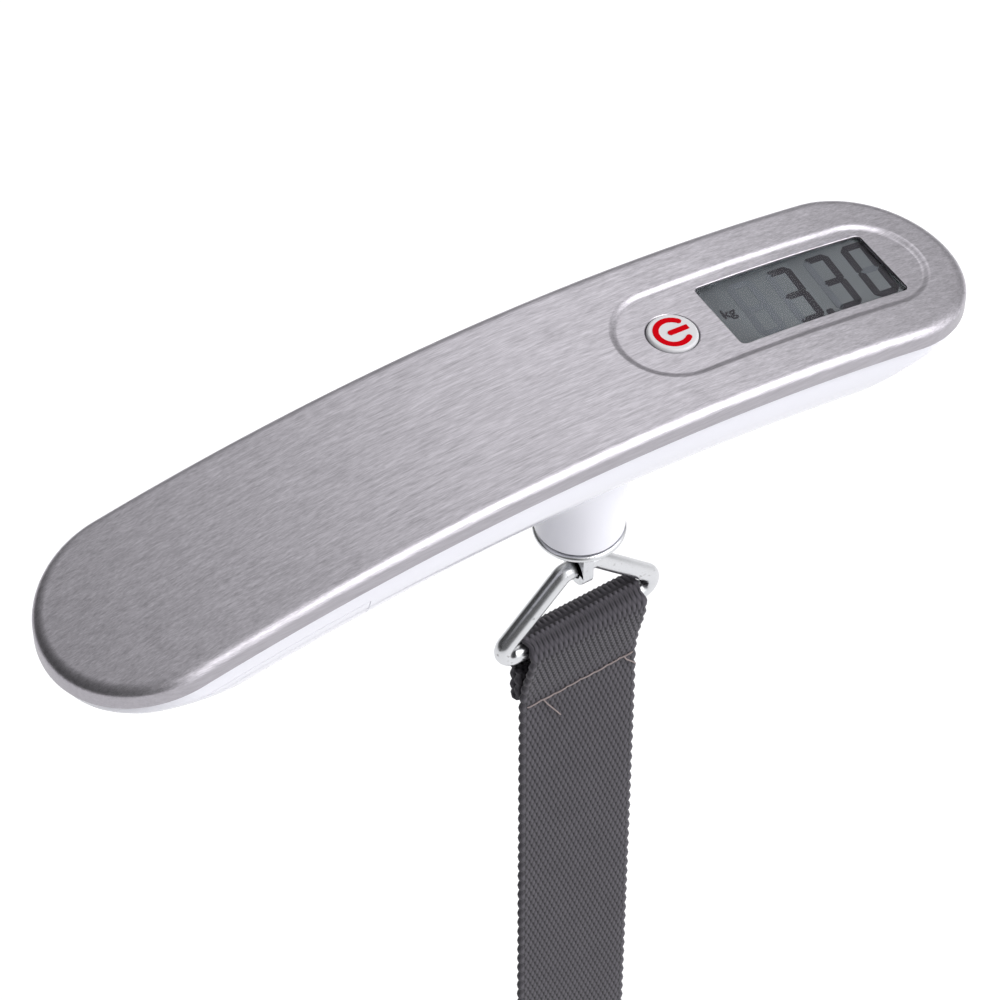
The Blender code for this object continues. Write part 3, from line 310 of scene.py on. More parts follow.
def startGroup(name, inputs, outputs):
    group = bpy.data.node_groups.new(name, "ShaderNodeTree")
    for label, kind, value in inputs:
        made = group.interface.new_socket(label, in_out="INPUT", socket_type=kind)
        if value is not None:
            made.default_value = value
    for label in outputs:
        group.interface.new_socket(label, in_out="OUTPUT", socket_type="NodeSocketFloat")
    return group, group.nodes.new("NodeGroupInput"), group.nodes.new("NodeGroupOutput")


def useGroup(tree, group, place, **values):
    node = tree.nodes.new("ShaderNodeGroup")
    node.node_tree = group
    tree.links.new(place, node.inputs["Place"])
    for name, value in values.items():
        node.inputs[name].default_value = value
    return node


def blendColours(tree, mask, first, second):
    node = putNode(tree, "ShaderNodeMix", data_type="RGBA")
    node.inputs[6].default_value = (*first, 1)
    node.inputs[7].default_value = (*second, 1)
    tree.links.new(mask, node.inputs[0])
    return node.outputs[2]


def ranged(tree, value, low, high, start=0.0, end=1.0, kind="LINEAR"):
    # a Map Range node, from low to high and onto start to end
    node = putNode(tree, "ShaderNodeMapRange", {"Value": value}, interpolation_type=kind,
                   From_Min=low, From_Max=high, To_Min=start, To_Max=end)
    return node.outputs["Result"]


def softly(tree, value, reach, start=0.0, end=1.0):
    return ranged(tree, value, *reach, start, end, kind="SMOOTHSTEP")


def between(tree, mask, low, high):
    return ranged(tree, mask, 0.0, 1.0, low, high)


def calc(tree, operation, *values):
    # a Math node whose values are sockets or plain numbers
    node = putNode(tree, "ShaderNodeMath", operation=operation)
    for number, value in enumerate(values):
        if isinstance(value, (int, float)):
            node.inputs[number].default_value = value
        else:
            tree.links.new(value, node.inputs[number])
    return node.outputs[0]


def raise_(tree, shader, height, strength, depth):
    bump = putNode(tree, "ShaderNodeBump", Strength=strength, Distance=depth)
    tree.links.new(height, bump.inputs["Height"])
    tree.links.new(bump.outputs["Normal"], shader.inputs["Normal"])
    return bump


def makeMouldGrain():
    # moulded plastic: a fine skin and slow clouds of gloss
    group, given, out = startGroup(
        "mouldGrain",
        [("Place", "NodeSocketVector", None), ("Fine", "NodeSocketFloat", 9000.0),
         ("Slow", "NodeSocketFloat", 60.0)],
        ["Skin", "Cloud"])
    skin = putNode(group, "ShaderNodeTexNoise", {"Vector": given.outputs["Place"],
                   "Scale": given.outputs["Fine"]}, Detail=2.0)
    cloud = putNode(group, "ShaderNodeTexNoise", {"Vector": given.outputs["Place"],
                    "Scale": given.outputs["Slow"]}, Detail=4.0)
    group.links.new(skin.outputs["Fac"], out.inputs["Skin"])
    group.links.new(cloud.outputs["Fac"], out.inputs["Cloud"])
    return group


def makeBrushLines():
    # brushed metal: short lines along the handle, fine ones over broad ones
    group, given, out = startGroup(
        "brushLines",
        [("Place", "NodeSocketVector", None), ("Along", "NodeSocketFloat", 220.0),
         ("Across", "NodeSocketFloat", 4200.0)],
        ["Lines", "Bands"])
    stretch = putNode(group, "ShaderNodeCombineXYZ", {
        "X": given.outputs["Along"], "Y": given.outputs["Across"], "Z": given.outputs["Across"]})
    drawn = putNode(group, "ShaderNodeVectorMath", {
        0: given.outputs["Place"], 1: stretch.outputs[0]}, operation="MULTIPLY")
    lines = putNode(group, "ShaderNodeTexNoise", {"Vector": drawn.outputs[0]},
                    Scale=1.0, Detail=3.0, Roughness=0.65)
    bands = putNode(group, "ShaderNodeTexNoise", {"Vector": drawn.outputs[0]},
                    Scale=0.3, Detail=2.0)
    group.links.new(lines.outputs["Fac"], out.inputs["Lines"])
    group.links.new(bands.outputs["Fac"], out.inputs["Bands"])
    return group


def makeHandling():
    # bare metal that has been handled: smears, and small dark specks
    group, given, out = startGroup(
        "handling",
        [("Place", "NodeSocketVector", None), ("Smears", "NodeSocketFloat", 260.0),
         ("Specks", "NodeSocketFloat", 1500.0)],
        ["Smear", "Speck"])
    smear = putNode(group, "ShaderNodeTexNoise", {"Vector": given.outputs["Place"],
                    "Scale": given.outputs["Smears"]}, Detail=5.0, Roughness=0.6)
    dots = putNode(group, "ShaderNodeTexNoise", {"Vector": given.outputs["Place"],
                   "Scale": given.outputs["Specks"]}, Detail=2.0)
    few = ranged(group, dots.outputs["Fac"], 0.66, 0.74)
    group.links.new(smear.outputs["Fac"], out.inputs["Smear"])
    group.links.new(few, out.inputs["Speck"])
    return group


mouldGrain = makeMouldGrain()
brushLines = makeBrushLines()
handling = makeHandling()


steelLook = {
    "lineShare": 0.65,          # of the fine lines, over the broad ones
    "contrast": (0.28, 0.72),
    "shades": (0.64, 1.36),     # darkest and lightest share of the tone
    # painted shade: walls whose upward part of the normal is below this range are painted darker
    "upright": (0.10, 0.55),    # upward part of the normal, from a wall to a flat
}


# wall is the share of the lighter brushed tone left on upright walls, which paints them darker as painted
# shade
def brushedSteel(name, tone, roughness, along=230.0, across=5200.0, depth=0.012 * mm, wall=1.0):
    made, tree, shader, place = startFinish(name, Metallic=1.0)
    brush = useGroup(tree, brushLines, place, Along=along, Across=across)
    worn = useGroup(tree, handling, place, Smears=40.0)
    bands = calc(tree, "MULTIPLY", brush.outputs["Bands"], 1 - steelLook["lineShare"])
    mixed = calc(tree, "MULTIPLY_ADD", brush.outputs["Lines"], steelLook["lineShare"], bands)
    mask = ranged(tree, mixed, *steelLook["contrast"])
    # upright walls, the skirt and the pressed step's slopes, are painted darker and more even than the
    # flats: painted shade, set by the normal
    facing = putNode(tree, "ShaderNodeNewGeometry").outputs["Normal"]
    upward = putNode(tree, "ShaderNodeSeparateXYZ", {0: facing}).outputs["Z"]
    paintedWallShade = ranged(tree, calc(tree, "ABSOLUTE", upward, 0.0), *steelLook["upright"], wall, 1.0)
    mask = calc(tree, "MULTIPLY", mask, paintedWallShade)
    dark, light = (tuple(part * shade for part in tone) for shade in steelLook["shades"])
    tree.links.new(blendColours(tree, mask, dark, light), shader.inputs["Base Color"])
    rough = between(tree, worn.outputs["Smear"], *roughness)
    tree.links.new(rough, shader.inputs["Roughness"])
    raise_(tree, shader, brush.outputs["Lines"], 0.35, depth)
    return made


def plastic(name, tone, dim, roughness, fine=9000.0, slow=60.0, strength=0.06, **plain):
    made, tree, shader, place = startFinish(name, **plain)
    grain = useGroup(tree, mouldGrain, place, Fine=fine, Slow=slow)
    tree.links.new(blendColours(tree, grain.outputs["Cloud"], dim, tone), shader.inputs["Base Color"])
    tree.links.new(between(tree, grain.outputs["Cloud"], *roughness), shader.inputs["Roughness"])
    raise_(tree, shader, grain.outputs["Skin"], strength, 0.01 * mm)
    return made


def platedMetal(name, tone, stain, roughness, smears=260.0, specks=1500.0):
    made, tree, shader, place = startFinish(name, Metallic=1.0)
    worn = useGroup(tree, handling, place, Smears=smears, Specks=specks)
    tree.links.new(blendColours(tree, worn.outputs["Speck"], tone, stain), shader.inputs["Base Color"])
    tree.links.new(between(tree, worn.outputs["Smear"], *roughness), shader.inputs["Roughness"])
    raise_(tree, shader, worn.outputs["Smear"], 0.08, 0.03 * mm)
    return made


def clearAcrylic():
    made, tree, shader, place = startFinish(
        "clearAcrylic", Base_Color=(0.97, 0.98, 0.98, 1), IOR=1.10, Transmission_Weight=1.0)
    worn = useGroup(tree, handling, place, Smears=120.0)
    tree.links.new(between(tree, worn.outputs["Smear"], 0.005, 0.02), shader.inputs["Roughness"])
    # lamps reach the display through the window
    path = putNode(tree, "ShaderNodeLightPath")
    clear = putNode(tree, "ShaderNodeBsdfTransparent", Color=(0.93, 0.95, 0.95, 1))
    either = putNode(tree, "ShaderNodeMixShader", {
        0: path.outputs["Is Shadow Ray"], 1: shader.outputs[0], 2: clear.outputs[0]})
    tree.links.new(either.outputs[0], tree.nodes["Material Output"].inputs["Surface"])
    return made


def displayGlass():
    # a reflective display: grey, with painted light that makes it paler towards its near right corner
    made, tree, shader, place = startFinish("displayGlass", Specular_IOR_Level=0.1)
    parts = putNode(tree, "ShaderNodeSeparateXYZ", {0: place})
    # painted light: the glass is painted paler along this slant, towards the near right corner
    lean = calc(tree, "SUBTRACT", calc(tree, "MULTIPLY", parts.outputs["X"], 0.43), parts.outputs["Y"])
    fall = ranged(tree, lean, 8 * mm, 34 * mm)
    grain = useGroup(tree, mouldGrain, place, Fine=5000.0, Slow=140.0)
    tone = blendColours(tree, fall, (0.100, 0.106, 0.116), (0.128, 0.135, 0.143))
    spread = putNode(tree, "ShaderNodeMix", data_type="RGBA", blend_type="OVERLAY")
    spread.inputs[0].default_value = 0.10
    tree.links.new(tone, spread.inputs[6])
    tree.links.new(grain.outputs["Cloud"], spread.inputs[7])
    tree.links.new(spread.outputs[2], shader.inputs["Base Color"])
    tree.links.new(between(tree, grain.outputs["Skin"], 0.32, 0.44), shader.inputs["Roughness"])
    return made


weavePower = 2.2    # how square the swelling of a yarn is


def webbingCloth():
    # the mesh carries the yarn, the row and how far the weave is opened at each point; low parts of the
    # weave and the opened holes are painted dark, as painted shade
    made, tree, shader, place = startFinish(
        "webbingCloth", Sheen_Weight=0.12, Sheen_Roughness=0.5, Specular_IOR_Level=0.25)
    woven = putNode(tree, "ShaderNodeAttribute", attribute_name="weave").outputs["Vector"]
    yarn, row, openingAndShade = putNode(tree, "ShaderNodeSeparateXYZ", {0: woven}).outputs
    across = calc(tree, "PINGPONG", yarn, 1.0)
    along = calc(tree, "PINGPONG", row, 1.0)
    swells = []
    others = [calc(tree, "SUBTRACT", 1.0, part) for part in (across, along)]
    for pair in ((across, along), others):
        swells.append(calc(tree, "ADD", *(calc(tree, "POWER", part, weavePower) for part in pair)))
    height = calc(tree, "SUBTRACT", 1.0, calc(tree, "MINIMUM", *swells))
    # painted shade: the tops of the yarns stay light, their valleys and the opened holes are painted dark
    top = ranged(tree, height, 0.30, 0.95)
    lit = calc(tree, "MULTIPLY", top, calc(tree, "MULTIPLY_ADD", openingAndShade, -0.85, 1.0))
    tone = blendColours(tree, lit, (0.016, 0.015, 0.018), (0.096, 0.089, 0.103))
    grain = useGroup(tree, mouldGrain, place, Fine=6000.0, Slow=180.0)
    shade = blendColours(tree, grain.outputs["Cloud"], (0.80, 0.79, 0.81), (1.15, 1.15, 1.15))
    dyed = putNode(tree, "ShaderNodeMix", data_type="RGBA", blend_type="MULTIPLY")
    dyed.inputs[0].default_value = 1.0
    tree.links.new(tone, dyed.inputs[6])
    tree.links.new(shade, dyed.inputs[7])
    tree.links.new(dyed.outputs[2], shader.inputs["Base Color"])
    tree.links.new(between(tree, grain.outputs["Skin"], 0.62, 0.85), shader.inputs["Roughness"])
    fibre = putNode(tree, "ShaderNodeMapping", {"Vector": woven})
    fibre.inputs["Scale"].default_value = (5.0, 0.9, 0.0)
    hairs = putNode(tree, "ShaderNodeTexNoise", {"Vector": fibre.outputs[0]}, Scale=1.0, Detail=3.0)
    strands = calc(tree, "MULTIPLY_ADD", hairs.outputs["Fac"], 0.25, calc(tree, "MULTIPLY", height, 0.5))
    raise_(tree, shader, strands, 0.6, 0.10 * mm)
    return made


finishes = {
    # the cover's upright walls are painted darker, as painted shade
    "brushed_steel": brushedSteel("brushedSteel", (0.525, 0.502, 0.540), (0.33, 0.40), 420.0, 6400.0,
                                  wall=0.35),
    "white_plastic": plastic("glossWhite", (0.925, 0.918, 0.985), (0.905, 0.900, 0.965), (0.08, 0.16),
                             strength=0.03),
    "inner_plastic": plastic("innerPlastic", (0.70, 0.70, 0.72), (0.64, 0.64, 0.66), (0.38, 0.55)),
    "clear_acrylic": clearAcrylic(),
    "lcd_glass": displayGlass(),
    "contact_rubber": plastic("contactRubber", (0.42, 0.19, 0.15), (0.33, 0.14, 0.11), (0.6, 0.8)),
    "board_green": plastic("boardGreen", (0.03, 0.22, 0.08), (0.02, 0.16, 0.06), (0.3, 0.45)),
    "black_epoxy": plastic("blackEpoxy", (0.022, 0.022, 0.023), (0.014, 0.014, 0.015), (0.3, 0.5)),
    "button_plastic": plastic("buttonPlastic", (0.63, 0.625, 0.645), (0.60, 0.595, 0.615), (0.22, 0.32)),
    "nickel": platedMetal("nickel", (0.66, 0.64, 0.60), (0.45, 0.43, 0.40), (0.18, 0.32)),
    "spring_bronze": platedMetal("springBronze", (0.72, 0.58, 0.36), (0.5, 0.38, 0.22), (0.22, 0.38)),
    "aluminium": brushedSteel("sawnAluminium", (0.72, 0.73, 0.75), (0.35, 0.5), 400.0, 3000.0),
    "gauge_film": plastic("gaugeFilm", (0.72, 0.45, 0.14), (0.6, 0.36, 0.1), (0.35, 0.45)),
    "zinc_steel": platedMetal("zincSteel", (0.62, 0.63, 0.65), (0.42, 0.42, 0.42), (0.2, 0.36)),
    "chrome": platedMetal("chrome", (0.64, 0.645, 0.66), (0.28, 0.27, 0.27), (0.20, 0.30)),
    "webbing": webbingCloth(),
    "lead_red": plastic("redLead", (0.45, 0.02, 0.02), (0.36, 0.015, 0.015), (0.45, 0.6)),
    "lead_black": plastic("blackLead", (0.02, 0.02, 0.02), (0.013, 0.013, 0.013), (0.45, 0.6)),
    "lead_grey": plastic("greyLead", (0.30, 0.30, 0.31), (0.25, 0.25, 0.26), (0.45, 0.6)),
}
signRed = plastic("signRed", (0.56, 0.003, 0.008), (0.52, 0.002, 0.006), (0.40, 0.50),
                  Specular_IOR_Level=0.0)
segmentInk = plastic("segmentInk", (0.038, 0.036, 0.042), (0.033, 0.031, 0.036), (0.35, 0.45),
                     Specular_IOR_Level=0.1)
ghostInk = plastic("ghostInk", (0.103, 0.109, 0.123), (0.099, 0.105, 0.119), (0.35, 0.45),
                   Specular_IOR_Level=0.1)
threadFibre = plastic("threadFibre", (0.33, 0.27, 0.265), (0.25, 0.205, 0.20), (0.6, 0.8), 4000.0, 900.0)
print("finishes ready:", len(finishes) + 4)


# Handle: cover, housing and battery cover

handle = {
    "archRadius": 320 * mm,
    "slice": 2.5 * mm,   # how finely a flat shape is sliced before it is bent
    "sides": 128,        # points round the two ends
}
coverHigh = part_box("top_plate")[1]
halfLength = coverHigh.x
halfWidth = coverHigh.y
straight = halfLength - halfWidth


def flatDisc(levels):
    # a bowl of (inset, depth) levels, pulled out to the handle's plan
    made = bowl([(halfWidth - inset, -depth) for inset, depth in levels], handle["sides"])
    return pullApart(made, straight)


cover = {
    "sheet": 0.6 * mm,
    "edgeReach": 1.8 * mm,              # how far in from the side the edge starts to roll
    "edgeDrop": 1.2 * mm,
    "edgeSteps": 14,
    "skirt": 3.2 * mm,
    "recess": (17.7 * mm, 69.3 * mm),   # from and to, along the handle
    "recessWidth": 17.2 * mm,
    "recessDepth": 0.45 * mm,
    "press": 0.72 * mm,                 # half width of the pressed step
    "window": (34.1 * mm, 63.5 * mm),
    "windowWidth": 12.9 * mm,
    "windowCorner": 0.8 * mm,
    "windowRim": 0.15 * mm,
    "buttonPlace": 26.3 * mm,
    "buttonHole": 3.95 * mm,
    "buttonLip": 0.12 * mm,
}


def edgeLevels(inset):
    # the rolled edge of the cover, from its flat top down to its side
    reach = cover["edgeReach"] - inset
    drop = cover["edgeDrop"] - inset
    levels = []
    for i in range(cover["edgeSteps"] + 1):
        turn = pi / 2 * i / cover["edgeSteps"]
        levels.append((inset + reach * (1 - sin(turn)), inset + drop * (1 - cos(turn))))
    return levels


def windowTool(grow, bottom, top):
    left, right = cover["window"]
    half = cover["windowWidth"] / 2 + grow
    bpy.ops.mesh.primitive_plane_add(size=1, location=((left + right) / 2, 0, bottom))
    tool = bpy.context.object
    tool.scale = (right - left + 2 * grow, 2 * half, 1)
    settle(tool)
    openPiece(tool)
    selectAll()
    bpy.ops.mesh.bevel(offset=cover["windowCorner"] + grow, segments=6, affect="VERTICES")
    selectAll()
    extrude(top - bottom)
    closePiece()
    return tidyMesh(tool)


def recessTool(grow, levels):
    # levels are (outset, height), from the floor up
    left, right = cover["recess"]
    half = cover["recessWidth"] / 2 + grow
    middle = (left + right) / 2
    tool = bowl([(half + outset, height) for outset, height in levels], 96, middle)
    return pullApart(tool, (right - left - cover["recessWidth"]) / 2, middle)


def softenWindow(plate):
    # a small rounding on the window's upper rim
    left, right = cover["window"]
    half = cover["windowWidth"] / 2
    near = 0.01 * mm

    def onRim(edge):
        return all(
            abs(point.co.z + cover["recessDepth"]) < near and abs(point.co.y) < half + near
            and left - near < point.co.x < right + near for point in edge.verts)

    openPiece(plate, "EDGE")
    pick(plate, "EDGE", onRim)
    bpy.ops.mesh.bevel(offset=cover["windowRim"], segments=3)
    closePiece()


def makeCover():
    sheet = cover["sheet"]
    plate = flatDisc(edgeLevels(0) + [(0, cover["skirt"])])
    inside = flatDisc(edgeLevels(sheet) + [(sheet, 2 * cover["skirt"])])
    carve(plate, inside)
    floor = cover["recessDepth"]
    carve(plate, recessTool(sheet, [(0, -floor - sheet), (0, -sheet / 2)]), "UNION")
    # the pressed step is an S: rounded over at the top and into the floor
    reach = cover["press"]
    step = []
    for i in range(9):
        share = i / 8
        step.append((reach * (2 * share - 1), -floor * (1 + cos(pi * share)) / 2))
    step.append((2.2 * reach, 0.3 * sheet))
    carve(plate, recessTool(0, step))
    carve(plate, windowTool(0, -floor - 2 * sheet, sheet))
    softenWindow(plate)
    hole = cover["buttonHole"]
    lip = cover["buttonLip"]
    rim = [(hole, -floor - 2 * sheet), (hole, -floor - lip)]
    rim += [(hole + lip, -floor), (hole + 2 * lip, sheet)]
    carve(plate, bowl(rim, 72, cover["buttonPlace"]))
    bendToArch(plate)
    smooth(plate, 40)
    applyModifier(plate, "WEIGHTED_NORMAL", keep_sharp=True, weight=60)
    return handOver(plate, "steelCover", "handle", "brushed_steel", "top_plate")


housing = {
    "inset": 1.0 * mm,
    "top": 2.9 * mm,
    "depth": 18.0 * mm,
    "wall": 1.8 * mm,
    "roundness": 2.3,     # exponent of the section, where 2 is an ellipse
    "keel": 2.5 * mm,
    "steps": 30,
    "taper": 16.0 * mm,       # how far the bottom stops short of each end
    "taperTop": 6.2 * mm,
    "taperEase": 1.8 * mm,
    "door": (-61.7 * mm, -32.3 * mm),
    "doorDepth": 7.6 * mm,
    "parting": 0.1 * mm,
    "posts": (-68.4 * mm, -29.3 * mm, 68.4 * mm),
    "postRadius": 2.7 * mm,
    "postTop": 5.3 * mm,
    "pilot": 1.4 * mm,
    "pilotDepth": 7.75 * mm,
    "bossPlace": -22.9 * mm,
    "bossSide": 2.6 * mm,
    "bossRadius": 3.2 * mm,
    "bossTop": 13.0 * mm,
    "bossPilot": 1.55 * mm,
    "bossPilotDepth": 15.6 * mm,
    "bossPilotTop": 7.5 * mm,
}
neck = {
    "radius": 6.8 * mm,
    "bottom": 33.3 * mm,
    "flare": 9.0 * mm,
    "bore": 4.0 * mm,
    "boreOver": 0.3 * mm,
    "lip": 0.5 * mm,
    "steps": 16,
    "sides": 96,
}
discLow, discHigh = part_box("neck_disc")
neckPlace = (discLow.x + discHigh.x) / 2


def hullLevels(wall):
    half = halfWidth - housing["inset"] - wall
    height = housing["depth"] - housing["top"] - wall
    power = 2 / housing["roundness"]
    levels = []
    for i in range(housing["steps"] + 1):
        turn = pi / 2 * i / housing["steps"]
        across = half * cos(turn) ** power
        if across < housing["keel"]:
            break
        levels.append((halfWidth - across, housing["top"] + height * sin(turn) ** power))
    levels.append((halfWidth - housing["keel"], housing["top"] + height))
    return levels


def endTaper(depth):
    # a straight slope that starts softly
    slope = housing["taper"] / (housing["depth"] - housing["taperTop"])
    ease = housing["taperEase"]
    past = max(depth - housing["taperTop"] + ease / 2, 0)
    return slope * (past * past / (2 * ease) if past < ease else past - ease / 2)


def flatHull(wall, levels):
    # a bowl whose ends draw in towards the bottom
    made = bowl([(halfWidth - inset, -depth) for inset, depth in levels], handle["sides"])
    for point in made.data.vertices:
        reach = straight - endTaper(wall / 2 - point.co.z)
        point.co.x += reach if point.co.x > 0 else -reach
    return made


def makeNeck():
    # a round neck that flares along the handle where it meets the housing
    radius = neck["radius"]
    start = housing["depth"] - housing["wall"] / 2
    flareEnd = housing["depth"] + neck["flare"]
    levels = [(neck["flare"], start)]
    for i in range(neck["steps"] + 1):
        turn = pi / 2 * i / neck["steps"]
        levels.append((neck["flare"] * (1 - sin(turn)), flareEnd - neck["flare"] * cos(turn)))
    lip = neck["lip"]
    levels.append((0, neck["bottom"] - lip))
    levels.append((-0.3 * lip, neck["bottom"] - 0.3 * lip))
    levels.append((-lip, neck["bottom"]))
    spread, depth = levels[0]
    piece = disc(radius, -depth, neck["sides"], neckPlace)
    openPiece(piece, "FACE")
    selectAll()
    width, deep = radius, radius
    centre = (neckPlace, 0, 0)
    bpy.ops.transform.resize(value=((radius + spread) / width, 1, 1), center_override=centre)
    width = radius + spread
    for spread, lower in levels[1:]:
        extrude(depth - lower)
        nextDeep = radius + min(spread, 0)
        ratio = ((radius + spread) / width, nextDeep / deep, 1)
        bpy.ops.transform.resize(value=ratio, center_override=centre)
        width, deep, depth = radius + spread, nextDeep, lower
    closePiece()
    return tidyMesh(piece)


def makeHousing():
    wall = housing["wall"]
    inner = hullLevels(wall)
    shell = flatHull(0, hullLevels(0))
    carve(shell, flatHull(wall, [(inner[0][0], housing["top"] - wall)] + inner))
    for x in housing["posts"]:
        post = rod(housing["postRadius"], -housing["depth"], -housing["postTop"], x)
        carve(post, flatHull(wall / 2, hullLevels(wall / 2)), "INTERSECT")
        carve(shell, post, "UNION")
        carve(shell, rod(housing["pilot"], -housing["pilotDepth"], 0, x))
    left, right = housing["door"]
    gap = housing["parting"]
    below = -2 * housing["depth"]
    door = twin(shell)
    carve(shell, slab((left, -halfWidth, below), (right, halfWidth, -housing["doorDepth"])))
    edge = (right - gap, halfWidth, -housing["doorDepth"] - gap)
    carve(door, slab((left + gap, -halfWidth, below), edge), "INTERSECT")
    bendToArch(door)
    smooth(door, 35)
    handOver(door, "batteryCover", "battery_door", "white_plastic", "battery_cover")

    bendToArch(shell)
    carve(shell, makeNeck(), "UNION")
    floor = housing["depth"] - wall / 2
    bosses = [(housing["bossPlace"], side) for side in (-housing["bossSide"], housing["bossSide"])]
    for boss in bosses:
        carve(shell, rod(housing["bossRadius"], -floor, -housing["bossTop"], *boss), "UNION")
    for boss in bosses:
        carve(shell, rod(housing["bossPilot"], -housing["bossPilotDepth"], -housing["bossPilotTop"], *boss))
    carve(shell, rod(neck["bore"], -2 * neck["bottom"], neck["boreOver"] - housing["bossTop"], neckPlace))
    smooth(shell, 35)
    applyModifier(shell, "WEIGHTED_NORMAL", keep_sharp=True, weight=50)
    handOver(shell, "lowerHousing", "handle", "white_plastic", "lower_housing")


makeCover()
print("cover bent to the arch")
makeHousing()
print("housing and battery cover cut apart")


# Display: window, glass and figures

display = {
    "station": 44.0 * mm,       # where the display lies level with the arch
    "glassDepth": 2.1 * mm,
    "glassThickness": 2.5 * mm,
    "lowerPane": 0.8 * mm,
    "glassMiddle": 4.8 * mm,    # from the station
    "glassSize": (31.2 * mm, 14.7 * mm),
    "ledge": 0.45 * mm,
    "lensTop": 0.65 * mm,
    "lensGap": 0.12 * mm,
    "flangeTop": 1.35 * mm,
    "flangeBottom": 2.05 * mm,
    "flange": 1.9 * mm,
}
figures = {
    "shown": " 330",
    "left": 38.95 * mm,         # of the first place, on the glass
    "bottom": -5.62 * mm,
    "pitch": 6.8 * mm,
    "width": 4.55 * mm,
    "height": 11.6 * mm,
    "stroke": 1.2 * mm,
    "gap": 0.3 * mm,
    "pointGap": 0.95 * mm,
    "slant": 0.085,
    "proud": 0.03 * mm,
    "pointAfter": 1,
    "unitPlace": (35.59 * mm, 0.18 * mm),
    "unitHeight": 2.5 * mm,
}
litBars = {"0": "abcdef", "3": "abcdg", " ": ""}


def onArch(x):
    # moves a piece to a station on the arch, level with it there
    lean = Matrix.Rotation(asin(x / handle["archRadius"]), 4, "Y")
    return Matrix.Translation((x, 0, archHeight(x))) @ lean


stationMatrix = onArch(display["station"])


def makeLens():
    low = -display["flangeBottom"]
    lens = windowTool(display["flange"], low, -display["flangeTop"])
    face = windowTool(-display["lensGap"], -display["flangeTop"] - 0.3 * mm, -display["lensTop"])
    carve(lens, face, "UNION")
    bendToArch(lens)
    smooth(lens, 30)
    handOver(lens, "displayLens", "handle", "clear_acrylic", "display_lens")


def makeGlass():
    # two panes: the lower one has a ledge for its contacts
    length, width = display["glassSize"]
    bottom = -display["glassDepth"] - display["glassThickness"]
    bpy.ops.mesh.primitive_plane_add(size=1, location=(display["glassMiddle"], 0, bottom))
    glass = bpy.context.object
    glass.scale = (length, width, 1)
    settle(glass)
    openPiece(glass, "FACE")
    selectAll()
    lower = display["lowerPane"]
    extrude(lower)
    bpy.ops.mesh.inset(thickness=display["ledge"])
    extrude(display["glassThickness"] - lower)
    closePiece()
    tidyMesh(glass)
    applyModifier(glass, "BEVEL", width=0.08 * mm, segments=2)
    smooth(glass)
    glass.data.transform(stationMatrix)
    handOver(glass, "lcdGlass", "handle", "lcd_glass", "lcd_panel")


def bar(x, y, length, upright, point=0.49):
    # one bar of a figure, pointed at both ends
    bpy.ops.mesh.primitive_plane_add(size=1)
    piece = bpy.context.object
    stroke = figures["stroke"]
    piece.scale = (stroke, length, 1) if upright else (length, stroke, 1)
    piece.location = (x, y, figures["proud"] / 3 - display["glassDepth"])
    settle(piece)
    openPiece(piece)
    selectAll()
    bpy.ops.mesh.bevel(offset=stroke * point, segments=1, affect="VERTICES", offset_type="OFFSET")
    selectAll()
    extrude(figures["proud"])
    closePiece()
    return tidyMesh(piece)


def barPlaces(left):
    width, height, stroke = figures["width"], figures["height"], figures["stroke"]
    bottom = figures["bottom"]
    inset = stroke / 2
    reach = width - stroke
    rise = (height - stroke) / 2
    middle = bottom + height / 2
    centre = left + width / 2
    trim = 2 * figures["gap"]
    return {
        "a": (centre, bottom + height - inset, reach + stroke - trim, False),
        "d": (centre, bottom + inset, reach + stroke - trim, False),
        "g": (centre, middle, reach + stroke - trim - inset, False),
        "f": (left + inset, middle + rise / 2, rise + stroke - trim, True),
        "b": (left + width - inset, middle + rise / 2, rise + stroke - trim, True),
        "e": (left + inset, middle - rise / 2, rise + stroke - trim, True),
        "c": (left + width - inset, middle - rise / 2, rise + stroke - trim, True),
    }


def layOnGlass(pieces, name, finish):
    made = joinAll(pieces)
    lean = Matrix.Identity(4)
    lean[0][1] = figures["slant"]
    made.data.transform(stationMatrix @ lean)
    return handOver(made, name, "handle", "lcd_glass", finish=finish)


def makeFigures():
    lit, unlit = [], []
    stroke = figures["stroke"]
    for number, shown in enumerate(figures["shown"]):
        left = figures["left"] + number * figures["pitch"] - display["station"]
        for name, place in barPlaces(left).items():
            group = lit if name in litBars[shown] else unlit
            group.append(bar(*place))
        if number == figures["pointAfter"]:
            x = left + figures["width"] + figures["pointGap"]
            lit.append(bar(x, figures["bottom"] + stroke / 2, stroke, True, 0.2))
    layOnGlass(lit, "lcdFigures", segmentInk)
    layOnGlass(unlit, "lcdGhostBars", ghostInk)

    words = bpy.data.curves.new("unit", "FONT")
    words.body = "kg"
    words.size = figures["unitHeight"]
    words.extrude = figures["proud"] / 2
    words.offset = 0.07 * mm
    unit = bpy.data.objects.new("unit", words)
    scene.collection.objects.link(unit)
    hold(unit)
    bpy.ops.object.convert(target="MESH")
    unit = tidyMesh(bpy.context.object)
    x, y = figures["unitPlace"]
    level = figures["proud"] - display["glassDepth"]
    unit.data.transform(Matrix.Translation((x - display["station"], y, level)))
    layOnGlass([unit], "lcdUnit", segmentInk)


makeLens()
makeGlass()
makeFigures()
print("display glazed and figures laid")


# Power button with its sign

button = {
    "radius": 3.8 * mm,
    "top": 0.1 * mm,
    "dish": 0.06 * mm,
    "edge": 0.45 * mm,          # how far in the rounded edge reaches
    "flange": 4.4 * mm,
    "flangeTop": 1.35 * mm,
    "flangeBottom": 1.95 * mm,
    "stem": 1.6 * mm,
    "signRadius": 2.47 * mm,    # middle of the ring
    "signStroke": 0.9 * mm,
    "signGap": (38, 50),        # degrees open to each side of the bar
    "barFrom": -0.35 * mm,
    "barTo": 3.05 * mm,
    "proud": 0.03 * mm,
}


